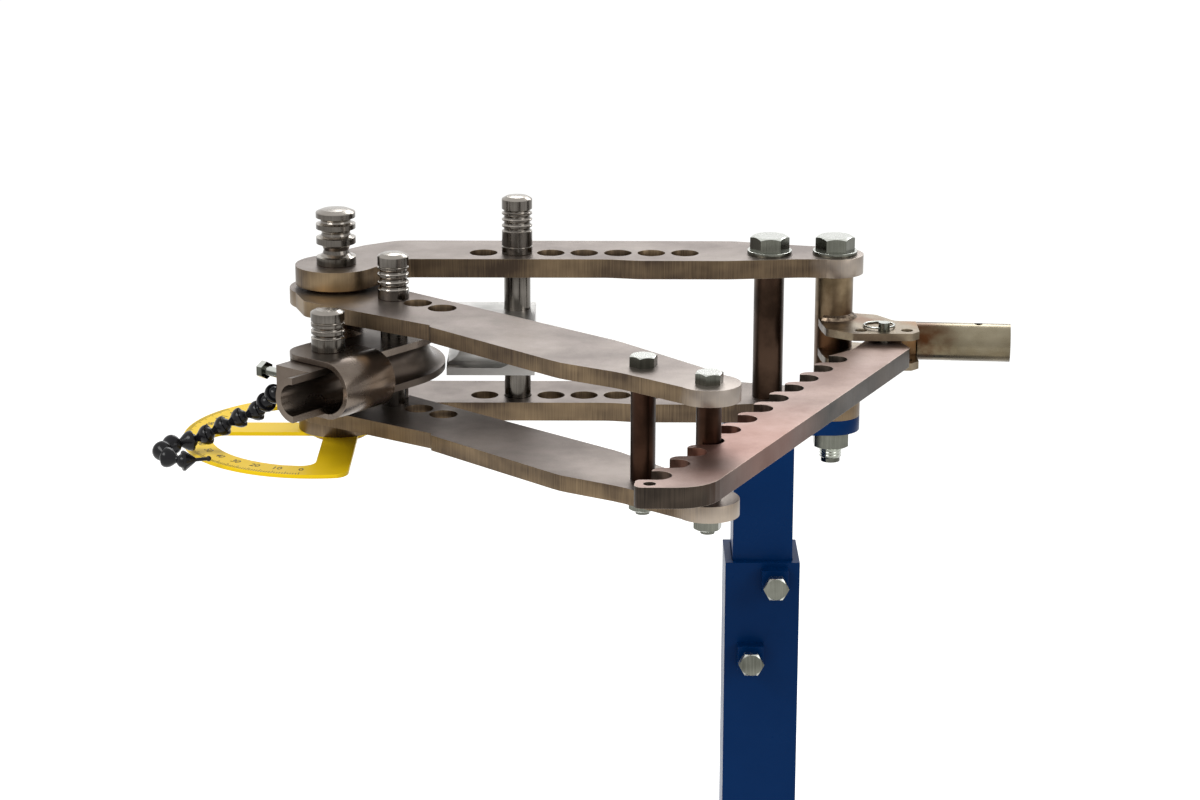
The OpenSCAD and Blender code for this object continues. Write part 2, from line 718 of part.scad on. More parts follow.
module frame_spacer_tube() color("#4a403a") at_king() translate([stand_bolt_x, hole_line, z_frame2_top])
    collar(spacer_d, bolt_d + 2 * run_play, z_frame_low - z_frame2_top);

module frame_bolts() color("#c4c6c9") at_king() for (x = [stand_bolt_x, pivot_x]) translate([x, hole_line]) {
    rod(bolt_d, z_cap_low - nut_h - thread_out, washer_t);
    translate([0, 0, washer_t]) rotate([0, 0, 180 / hex]) hex_block(bolt_af, bolt_head_h);
}

module frame_washers() color("#c9cacc") at_king() for (x = [stand_bolt_x, pivot_x])
    translate([x, hole_line]) collar(washer_d, bolt_d + 2 * fit_gap, washer_t);

module frame_nuts() color("#c4c6c9") at_king() for (x = [stand_bolt_x, pivot_x])
    translate([x, hole_line, z_cap_low - nut_h]) difference() {
        rotate([0, 0, 180 / hex]) hex_block(bolt_af, nut_h);
        rod(bolt_d + 2 * fit_gap, -over, nut_h + over);
    }

module king_bushes() color("#8c6a42") at_king() difference() {
    union() {
        rod(bush_d, z_frame_low, 0);
        rod(bush_d, z_flange - bush_flange_t, z_frame2_top);
        rod(bush_flange_d, z_flange - bush_flange_t, z_flange);
    }
    rod(king_bore_d, z_flange - bush_flange_t - over, over);
}

module king_pin() color("#d0d0d0") at_king()
    turned_pin(king_head_d, king_head_h, king_d, bush_flange_t - z_flange + pin_chamfer * 2,
        [[0.263, 0.12, 0.36], [0.57, 0.079, 0.287], [0.79, 0.057, 0.257]]);

module degree_ring() color("#f2c81a") at_king() difference() {
    left = -ring_front_w * 0.4;
    right = ring_front_w * 0.6;
    side_low = -ring_side_w * 0.62;
    side_top = side_low + ring_side_w;
    middle = [-ring_left, -ring_front, 0];
    in_r = ring_r_out - ring_w;
    low = ring_r_out + ring_front;
    far = 2 * ring_r_out;
    slab(z_ring_top, ring_t) union() {
        circle(r = ring_hub_r);
        difference() {
            intersection() {
                translate([-ring_left, -ring_front]) circle(r = ring_r_out, $fn = 128);
                polygon(rounded([[-far, far, 0], [right, far, 0], [right, -low * 0.985, ring_w * 0.6],
                    [-ring_r_out / 2, -low * 1.05, 0], [-far, -far, 0]]));
            }
            polygon(rounded(concat(
                [[left, side_low, ring_w / 2],
                    [left, -ring_front - sqrt(in_r * in_r - (left + ring_left) * (left + ring_left)), ring_w / 2]],
                [for (turn = [254:-6:188]) middle + on_circle(in_r, turn)],
                [[-ring_left - sqrt(in_r * in_r - (side_low + ring_front) * (side_low + ring_front)), side_low,
                    ring_w / 2]])));
            difference() {
                translate([-ring_left, -ring_front]) circle(r = in_r, $fn = 128);
                translate([-far, side_top - 2 * far]) square([2 * far, 2 * far]);
            }
            polygon([[side_top * cos(128) / sin(128), side_top], [far * cos(128), far * sin(128)], [far, far],
                [far, side_top]]);
        }
    }
    rod(bush_d + 2 * run_play, z_ring_low - over, z_ring_top + over);
}
function on_ring(turn) = ring_r_out * [cos(turn), sin(turn)];

module upper_swing_plate() color("#857a70") at_arm() swing_plate(z_arm_top);
module lower_swing_plate() color("#857a70") at_arm() swing_plate(z_arm2_top);

module swing_posts() color("#4a3b34") at_arm() for (x = [post_in_r, arm_len])
    translate([x, 0, z_arm2_top]) collar(swing_post_d, swing_bolt_d + 2 * fit_gap, post_l);

module swing_bolts() color("#c4c6c9") at_arm() for (x = [post_in_r, arm_len]) translate([x, 0]) {
    rod(swing_bolt_d, z_arm2_low - swing_nut_h - swing_bolt_d / 4, z_arm_top);
    translate([0, 0, z_arm_top]) hex_block(swing_bolt_af, swing_head_h);
}

module swing_nuts() color("#c4c6c9") at_arm() for (x = [post_in_r, arm_len])
    translate([x, 0, z_arm2_low - swing_nut_h]) difference() {
        hex_block(swing_bolt_af, swing_nut_h);
        rod(swing_bolt_d + 2 * fit_gap, -over, swing_nut_h + over);
    }

module thrust_washers() color("#5a524c") at_king() for (z = [z_arm_top, z_frame2_top])
    translate([0, 0, z]) collar(thrust_d, king_bore_d, thrust_t);

module die_spacers() color("#7a7068") at_die() for (z = [die_t / 2, -die_t / 2 - die_spacer_h])
    translate([0, 0, z]) collar(die_spacer_d, king_bore_d, die_spacer_h);

module bending_die() color("#8d7f78") at_die() difference() {
    union() {
        rotate_extrude(angle = die_sweep, $fn = 128) difference() {
            translate([0, -die_t / 2]) square([bend_r, die_t]);
            translate([bend_r, 0]) circle(r = groove_r, $fn = 96);
        }
        translate([0, 0, -die_t / 2]) cylinder(r = hub_r, h = die_t);
        difference() {
            translate([0, 0, -die_t / 2]) linear_extrude(die_t) polygon([
                [0, 0], [bend_r, 0], [bend_r, -tang_end], [tang_tip_in, -tang_end],
                [tang_tip_in, -tang_l], [tang_in, -tang_l], [tang_in, -hub_r / 2]]);
            along_tube(tang_end + over, 0) cylinder(r = groove_r, h = tang_end + over, $fn = 96);
        }
        intersection() {
            along_tube(tang_end + lip_l, 0) difference() {
                cylinder(r = groove_r + lip_wall, h = lip_l + tang_tip_l / 2);
                translate([0, 0, -over]) cylinder(r = groove_r, h = lip_l + tang_tip_l, $fn = 96);
            }
            translate([0, -tang_end - lip_l, -die_t / 2]) cube([bend_r, lip_l + tang_tip_l / 2, die_t]);
        }
    }
    rod(king_bore_d, -die_t / 2 - over, die_t / 2 + over);
    translate([drive_r, 0]) rod(pin_bore_d, -die_t / 2 - over, die_t / 2 + over);
    translate([strap_pin_x, -strap_pin_y]) rod(pin_bore_d, -die_t / 2 - over, die_t / 2 + over);
    at_clamp() rod(clamp_d + 2 * fit_gap, -over, clamp_in);
}

// The tube's straight axis beside the die, from a distance behind the curve, pointing to the curve
module along_tube(back, z) { translate([bend_r, -back, z]) rotate([-90, 0, 0]) children(); }

// The small bolt's frame: zero on the block's inner side, Z pointing into the block
module at_clamp() { translate([tang_tip_in, -clamp_y, clamp_rise]) rotate([0, 90, 0]) children(); }

module die_clamp_bolt() color("#cfd1d3") at_die() at_clamp() {
    rod(clamp_d, -clamp_out, clamp_in - turn_gap);
    translate([0, 0, -clamp_out - clamp_head_h]) hex_block(clamp_af, clamp_head_h);
}

module hose_base() color("#1b1b1d") at_die() translate([tang_tip_in, -hose_y, -hose_drop])
    rotate([0, -90, 0]) rotate_extrude($fn = 32) difference() {
        br = ball_d / 2;
        union() {
            polygon([[0, 0], [hose_d * 0.424, 0], [hose_d * 0.424, hose_seat * 0.8], [br * 0.7, hose_seat], [0, hose_seat]]);
            square([br * hose_neck_share, hose_reach]);
            intersection() {
                translate([0, hose_reach]) circle(r = br, $fn = 48);
                translate([0, hose_reach - br]) square([br, br * 1.75]);
            }
        }
        translate([0, hose_seat]) square([hose_bore_d / 2, hose_reach]);
    }

module on_hose(i) {
    at_king() translate(hose_at(i)) rotate([0, 90 + hose_turns[i][1], hose_turns[i][0]]) children();
}

module hose_segments() color("#1b1b1d") for (i = [0:hose_links - 1]) on_hose(i) hose_link(false);
module pointer_tip() color("#2a2a2c") on_hose(hose_links) hose_link(true);

module strap() color("#9a8f86") at_die() difference() {
    y_low = -strap_pin_y - strap_back;
    len_y = strap_front + strap_back;
    x_in = strap_pin_x - strap_ear;
    intersection() {
        translate([0, y_low, 0]) rotate([-90, 0, 0]) linear_extrude(len_y) difference() {
            union() {
                translate([x_in, -strap_out_r]) square([bend_r - x_in, 2 * strap_out_r]);
                translate([bend_r, 0]) circle(r = strap_out_r, $fn = 96);
            }
            translate([x_in - over, -strap_in_r]) square([bend_r - x_in + over, 2 * strap_in_r]);
            translate([bend_r, 0]) circle(r = strap_in_r, $fn = 96);
        }
        translate([0, 0, -strap_out_r - over]) linear_extrude(2 * (strap_out_r + over)) polygon(rounded([
            [x_in, y_low, strap_ear_r], [bend_r + 2 * strap_out_r, y_low, 0],
            [bend_r + 2 * strap_out_r, y_low + len_y, 0], [x_in, y_low + len_y, strap_ear_r]]));
    }
    translate([strap_pin_x, -strap_pin_y]) rod(pin_bore_d, -strap_out_r - over, strap_out_r + over);
}

module strap_pin() color("#d0d0d0") at_die() translate([strap_pin_x, -strap_pin_y, strap_out_r])
    turned_pin(strap_head_d, strap_head_h, pin_d, 2 * strap_out_r + pin_chamfer,
        [[0.36, 0.057, 0.133], [0.535, 0.058, 0.133], [0.687, 0.032, 0.1]]);

module drive_pin() color("#d0d0d0") at_king() rotate([0, 0, -die_angle]) translate([drive_r, 0, z_arm_top])
    turned_pin(drive_head_d, drive_head_h, pin_d, z_arm_top - z_arm2_low + pin_chamfer * 2,
        [[0.275, 0.063, 0.14], [0.442, 0.068, 0.14], [0.607, 0.063, 0.14], [0.709, 0.024, 0.1]]);

module follow_bar() color("#a9adb0") at_king() translate([0, 0, z_mid]) difference() {
    face = bend_r + follow_gap;
    translate([face, hole_line - follow_front, -follow_h / 2])
        cube([follow_x + follow_heel - face, follow_front + follow_rear, follow_h]);
    translate([bend_r, hole_line - follow_front - over, 0]) rotate([-90, 0, 0])
        cylinder(r = groove_r, h = follow_front + follow_rear + 2 * over, $fn = 96);
    translate([face - over, hole_line - follow_front - follow_gap, 0]) rotate([0, 90, 0])
        cylinder(r = follow_groove_r, h = follow_x - face - follow_groove_r + over, $fn = 96);
    translate([follow_x - follow_groove_r, hole_line - follow_front - follow_gap, 0])
        sphere(r = follow_groove_r, $fn = 96);
    translate([follow_x, hole_line]) rod(pin_bore_d, -follow_h / 2 - over, follow_h / 2 + over);
    translate([follow_x, hole_line, 0]) rotate([-90, 0, 0])
        rod(set_screw_d + 2 * fit_gap, pin_d / 4, follow_rear + over);
}

module follow_set_screw() color("#333336") at_king() translate([follow_x, hole_line, z_mid])
    rotate([-90, 0, 0]) difference() {
        rod(set_screw_d, pin_bore_d / 2 + fit_gap, follow_rear - turn_gap);
        translate([0, 0, follow_rear - set_screw_d / 2]) hex_block(set_screw_d / 2, set_screw_d);
    }

module follow_pin() color("#d0d0d0") at_king() translate([follow_x, hole_line])
    turned_pin(follow_head_d, follow_head_h, pin_d, pin_chamfer * 2 - z_frame2_low,
        [[0.13, 0.012, 0.06], [0.43, 0.04, 0.14], [0.535, 0.045, 0.14], [0.64, 0.045, 0.14], [0.74, 0.035, 0.14]]);

module pivot_tube() color("#4a403a") at_pivot() translate([0, 0, z_frame2_top + turn_gap])
    collar(socket_d, bolt_d + 2 * run_play, z_frame_low - z_frame2_top - 2 * turn_gap);

lever_x_shares = [0.15, 0.533, 0.74, 1, 1, 0.904, 0.178, -0.133, -0.178, -0.2];
lever_y_shares = [0.2, 0.085, -0.271, -0.305, -0.881, -1, -1, -0.746, -0.441, -0.12];
lever_round_shares = [0, 0.15, 0.12, 0, 0, 0, 0.09, 0.12, 0, 0];

module lever_plate(z) {
    difference() {
        slab(z, lever_t) polygon(rounded(concat([[0, 0, 0]], [for (i = [0:len(lever_x_shares) - 1])
            [lever_x_shares[i] * lever_reach, lever_y_shares[i] * lever_drop,
                lever_round_shares[i] * lever_drop]])));
        rod(socket_d + 2 * fit_gap, z - lever_t - over, z + over);
        for (i = [-1:1]) translate([lever_hole_x + i * lever_hole_pitch, -lever_hole_y])
            rod(clevis_d + 4 * run_play, z - lever_t - over, z + over);
    }
}

module upper_lever_plate() color("#7d736b") at_pivot() lever_plate(socket_low + socket_d);
module lower_lever_plate() color("#7d736b") at_pivot() lever_plate(z_fork_low);

block_x_share = 0.415;
block_y_shares = [0.525, 0.051];
socket_y_share = 0.356;

module lever_block() color("#7d736b") at_pivot() slab(z_mid + fork_gap / 2, fork_gap)
    translate([block_x_share * lever_reach, -block_y_shares[0] * lever_drop])
        square([lever_reach * (1 - block_x_share), lever_drop * (block_y_shares[0] - block_y_shares[1])]);

// The handle socket's frame: zero on the lever's right side, Z pointing to the open mouth
module at_socket() {
    at_pivot() translate([lever_reach, -socket_y_share * lever_drop, z_mid])
        rotate([0, 90, -socket_turn]) children();
}

module handle_socket() color("#b08d4f") difference() {
    at_socket() difference() {
        rod(socket_d, -socket_d / 4, socket_l);
        rod(socket_bore_d, -socket_d / 2, socket_l + over);
        rod(socket_bore_d + 2 * relief_depth, -socket_d / 2, relief_l);
        translate([-socket_d, 0, socket_hole_x]) rotate([0, 90, 0]) cylinder(d = socket_hole_d, h = 2 * socket_d);
    }
    at_pivot() translate([lever_reach - socket_d, -2 * lever_drop, socket_low - over])
        cube([socket_d, 3 * lever_drop, socket_d + 2 * over]);
}

// Beads along the pivot tube on the lever plates, and beside the socket's joint
module lever_welds() color("#6b6259") at_pivot() {
    for (side = [1, -1]) translate([0, 0, z_mid + side * socket_d / 2]) mirror([0, 0, side < 0 ? 1 : 0])
        rotate([0, 0, 235]) rotate_extrude(angle = 120) polygon([
            [socket_d / 2 + fit_gap, 0], [socket_d / 2 + weld_leg, 0],
            [socket_d / 2 + weld_leg * 0.6, weld_leg * 0.6], [socket_d / 2 + fit_gap, weld_leg]]);
}

module clevis_pin() color("#c9cacc") at_king() translate([bar_pin[0], bar_pin[1], 0]) {
    low = socket_low;
    high = socket_low + socket_d;
    difference() {
        union() {
            rod(clevis_d, low - turn_gap, high + clevis_out);
            rod(clevis_head_d, low - turn_gap - clevis_head_h, low - turn_gap);
        }
        translate([0, 0, high + ring_hole_r + turn_gap]) rotate([0, 90, ring_turn - 90])
            translate([0, 0, -clevis_d]) cylinder(r = ring_hole_r, h = 2 * clevis_d);
    }
}
ring_mean_r = (ring_pin_d - ring_wire_d) / 2;
ring_hole_r = ring_wire_d / 2 + pow(clevis_d / 2, 2) / (2 * ring_mean_r) + turn_gap;
ring_turn = 104;

module split_ring() color("#c9cacc") at_king()
    translate([bar_pin[0], bar_pin[1], socket_low + socket_d + ring_hole_r + turn_gap])
        rotate([0, 0, ring_turn])
            rotate([0, asin((ring_hole_r + turn_gap - ring_wire_d / 2) / (2 * ring_mean_r)), 0])
                translate([ring_mean_r, 0, 0]) rotate_extrude($fn = 48)
                    translate([ring_mean_r, 0]) circle(d = ring_wire_d, $fn = 16);

module ratchet_bar() color("#9b8a84") at_king() translate(bar_pin) rotate([0, 0, bar_turn]) difference() {
    slab(z_bar_low + bar_t, bar_t) bar_blank();
    rod(clevis_d + 2 * run_play, z_bar_low - over, z_bar_low + bar_t + over);
    for (i = [0:notch_count - 1]) translate(slot_at(i)) {
        rod(slot_w, z_bar_low - over, z_bar_low + bar_t + over);
        rotate([0, 0, 180 + notch_lean]) translate([0, -slot_w / 2, z_bar_low - over])
            cube([root_out + over, slot_w, bar_t + 2 * over]);
    }
    translate(slot_at(notch_count - 1) + lean_out * bar_hole_d * 0.65 - lean_up * bar_end_l * 0.69)
        rod(bar_hole_d, z_bar_low - over, z_bar_low + bar_t + over);
}

base_plate();
base_gussets();
outer_sleeve();
lock_nuts();
lock_bolt_upper();
lock_bolt_lower();
inner_post();
cap_plate();
upper_frame_plate();
lower_frame_plate();
frame_spacer_tube();
frame_bolts();
frame_washers();
frame_nuts();
king_bushes();
king_pin();
degree_ring();
upper_swing_plate();
lower_swing_plate();
swing_posts();
swing_bolts();
swing_nuts();
thrust_washers();
die_spacers();
bending_die();
die_clamp_bolt();
hose_base();
hose_segments();
pointer_tip();
strap();
strap_pin();
drive_pin();
follow_bar();
follow_set_screw();
follow_pin();
pivot_tube();
upper_lever_plate();
lower_lever_plate();
lever_block();
handle_socket();
lever_welds();
clevis_pin();
split_ring();
ratchet_bar();
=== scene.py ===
"""Looks of a ratcheting tube bender on its pedestal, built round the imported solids."""

import json
import logging
import math
from dataclasses import dataclass
from enum import Enum
from typing import Any, Iterable, Optional, Sequence

import bmesh
import bpy
from mathutils import Matrix, Vector

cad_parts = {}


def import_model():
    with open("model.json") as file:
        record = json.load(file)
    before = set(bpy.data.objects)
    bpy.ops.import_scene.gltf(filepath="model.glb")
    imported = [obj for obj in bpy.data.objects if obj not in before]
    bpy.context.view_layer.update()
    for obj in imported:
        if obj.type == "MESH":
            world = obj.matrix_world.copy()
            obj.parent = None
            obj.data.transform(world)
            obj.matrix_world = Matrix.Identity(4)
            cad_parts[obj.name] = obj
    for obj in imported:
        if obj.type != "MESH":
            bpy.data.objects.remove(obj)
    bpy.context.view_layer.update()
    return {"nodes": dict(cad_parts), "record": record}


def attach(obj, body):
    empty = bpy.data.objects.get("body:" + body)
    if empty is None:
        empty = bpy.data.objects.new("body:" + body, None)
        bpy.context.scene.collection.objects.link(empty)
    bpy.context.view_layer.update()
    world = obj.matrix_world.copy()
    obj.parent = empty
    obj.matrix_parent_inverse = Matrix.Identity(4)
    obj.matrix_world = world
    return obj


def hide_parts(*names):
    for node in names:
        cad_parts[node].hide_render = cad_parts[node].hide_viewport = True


log = logging.getLogger("tube_bender")

Point = tuple[float, float, float]
Tree = bpy.types.NodeTree
Socket = bpy.types.NodeSocket

# Metres in a millimetre.
MM = 0.001
# Height of the upper frame plate's top above the floor, and the king pin's place in plan, in mm.
FLOOR_TO_TOP = 965.0
KING = (-356.7, -41.0)
# Edges of turned and hexagonal pieces that turn by more than this stay sharp.
SHARP_DEG = 28
# Height of the relief in a finish at full strength, in metres.
RELIEF = 0.0004
# The noise values between which the darker tone runs into the lighter one, on faces and on cut sides.
TONE_SPAN = (0.36, 0.64)
CUT_SPAN = (0.36, 0.66)
# The share of a normal along Z at which upright sides, with their cut colour or painted shade, end and are
# full.
SIDE_TILT = (0.75, 0.35)
# The same for the painted highlight on corners: where it starts and is full, and where it ends and is
# full.
CORNER_HIGHLIGHT_TILTS = ((0.25, 0.5), (0.985, 0.9))
CORNER_HIGHLIGHT_SHARE = 0.75
# How many times longer than wide brushed marks are, and how many times coarser plated ones are.
BRUSH_LENGTH = 60
PLATE_COARSE = 3
# A coating's blotches, in repeats per metre, and the noise values between which its shine changes.
BLOTCHES = 18.0
SHINE_SPAN = (0.3, 0.7)
# Streaks and patches on cut sides, in repeats per metre along each axis, and the streaks' share.
STREAKS = (900.0, 900.0, 30.0)
PATCHES = (18.0, 18.0, 40.0)
STREAK_SHARE = 0.3
# How far the blotches bend a tint's edge, and how far it fades inwards and outwards, in reaches.
TINT_WAVER = 0.05
TINT_FADE = (0.5, 0.6)
# A hexagon's flat end as a share of its width, the slope of its chamfer and the step round it.
END_SHARE = 0.95
CHAMFER_DEG = 30
ROUND_STEP_DEG = 5
# A thread's depth, root and crest in pitches, its last radius as a share, the shank's lap in the head.
THREAD_DEPTH, THREAD_ROOT, THREAD_CREST = 0.55, 0.5, 0.94
END_TAPER = 0.86
SHANK_LAP_MM = 0.6
SHANK_SIDES = 48
# Steps of a hose link's hollow and ball, and its sides.
HOLLOW_STEPS, BALL_STEPS, LINK_SIDES = 8, 10, 40
# Points closer than this are joined; edges that turn by more than this are broken, in so many steps.
WELD_M = 0.00002
BREAK_DEG = 40
BREAK_STEPS = 2


def linear(code: str) -> tuple[float, float, float, float]:
    """Turns an sRGB hex colour into linear light.

    Args:
        code: Six hex digits, with or without a leading hash.

    Returns:
        Red, green, blue and alpha in linear values.
    """
    code = code.lstrip("#")
    parts = [int(code[i:i + 2], 16) / 255 for i in (0, 2, 4)]
    red, green, blue = (c / 12.92 if c <= 0.04045 else ((c + 0.055) / 1.055) ** 2.4 for c in parts)
    return (red, green, blue, 1.0)


def add_node(tree: Tree, kind: str, inputs: Optional[dict[Any, Any]] = None,
             **settings: Any) -> bpy.types.Node:
    """Adds a node with its settings, values and links.

    Args:
        tree: The shader or geometry tree.
        kind: The node's type name.
        inputs: A value or an output socket for each input name or number.
        settings: Properties of the node.

    Returns:
        The new node.
    """
    node = tree.nodes.new(kind)
    for name, value in settings.items():
        setattr(node, name, value)
    for key, value in (inputs or {}).items():
        socket = node.inputs[key]
        if isinstance(value, Socket):
            tree.links.new(value, socket)
        else:
            socket.default_value = value
    return node


def maths(tree: Tree, operation: str, *terms: Any) -> Socket:
    """Adds one step of arithmetic.

    Args:
        tree: The shader or geometry tree.
        operation: The step, as the node names it.
        terms: Its values or output sockets, in order.

    Returns:
        The result.
    """
    return add_node(tree, "ShaderNodeMath", dict(enumerate(terms)), operation=operation).outputs[0]


def at_king(x: float, y: float, z: float) -> Vector:
    """Turns a place from the king pin, in mm, into the object's frame in metres."""
    return Vector((x + KING[0], y + KING[1], z + FLOOR_TO_TOP)) * MM


def placed(name: str, data: Any) -> bpy.types.Object:
    """Makes an object of its data and links it to the scene.

    Args:
        name: The object's name.
        data: Its mesh, curve, light or camera.

    Returns:
        The new object.
    """
    holder = bpy.data.objects.new(name, data)
    bpy.context.scene.collection.objects.link(holder)
    return holder


def meshed(name: str, shape: bmesh.types.BMesh) -> bpy.types.Mesh:
    """Turns an edited shape into a mesh and frees it.

    Args:
        name: The mesh's name.
        shape: The shape.

    Returns:
        The new mesh.
    """
    mesh = bpy.data.meshes.new(name)
    shape.to_mesh(mesh)
    shape.free()
    return mesh


def settled(holder: bpy.types.Object) -> bpy.types.Mesh:
    """Keeps what an object evaluates to as a plain mesh, and removes its modifiers and the object.

    Args:
        holder: The object.

    Returns:
        The plain mesh.
    """
    bpy.context.view_layer.update()
    mesh = bpy.data.meshes.new_from_object(holder.evaluated_get(bpy.context.evaluated_depsgraph_get()))
    holder.modifiers.clear()
    bpy.data.objects.remove(holder)
    return mesh


class Grain(Enum):
    """How a metal surface was made, which sets the direction of its fine marks."""

    ROLLED = "rolled"
    BRUSHED_X = "brushed along x"
    PLATED = "plated"


@dataclass(frozen=True)
class Glow:
    """A tint round one place, as a weld, a torch or a grinder leaves it, or a painted highlight.

    Args:
        place_mm: Its middle from the king pin's top.
        reach_mm: Where the tint is half gone.
        colour: The tint.
        strength: Its share in the middle.
    """

    place_mm: Point
    reach_mm: float
    colour: str
    strength: float


@dataclass(frozen=True)
class Finish:
    """What every finish has.

    Args:
        name: The material's common name and how it was made.
        slot: The record's material slot that it stands for, or a name of its own.
    """

    name: str
    slot: str

    def start(self) -> tuple[bpy.types.Material, Tree, bpy.types.Node]:
        """Makes an empty material with its shader.

        Returns:
            The material, its tree and its Principled BSDF.
        """
        material = bpy.data.materials.new(self.name)
        material.use_nodes = True
        tree = material.node_tree
        tree.nodes.clear()
        shader = add_node(tree, "ShaderNodeBsdfPrincipled")
        add_node(tree, "ShaderNodeOutputMaterial", {"Surface": shader.outputs["BSDF"]})
        return material, tree, shader

    @staticmethod
    def ramp(tree: Tree, value: Socket, low: float, high: float, start: float = 0.0,
             end: float = 1.0) -> Socket:
        """Maps a value from low..high to start..end.

        Args:
            tree: The material's tree.
            value: The value.
            low: Input that gives start.
            high: Input that gives end.
            start: First result.
            end: Last result.

        Returns:
            The mapped value.
        """
        mapped = add_node(tree, "ShaderNodeMapRange", {
            "Value": value, "From Min": low, "From Max": high, "To Min": start, "To Max": end})
        return mapped.outputs["Result"]

    @staticmethod
    def blend(tree: Tree, share: Any, first: Any, second: Any, kind: str = "RGBA") -> Socket:
        """Mixes two colours or values.

        Args:
            tree: The material's tree.
            share: The second one's share.
            first: The first colour or value.
            second: The second one.
            kind: RGBA or FLOAT.

        Returns:
            The mix.
        """
        mixed = add_node(tree, "ShaderNodeMix", {"Factor": share, "A": first, "B": second},
                         data_type=kind)
        return mixed.outputs["Result"]

    @staticmethod
    def relieve(tree: Tree, shader: bpy.types.Node, height: Socket, strength: float) -> None:
        """Gives the shader a fine relief.

        Args:
            tree: The material's tree.
            shader: The shader.
            height: The relief.
            strength: Its strength.
        """
        bump = add_node(tree, "ShaderNodeBump", {
            "Height": height, "Strength": strength, "Distance": RELIEF})
        tree.links.new(bump.outputs["Normal"], shader.inputs["Normal"])


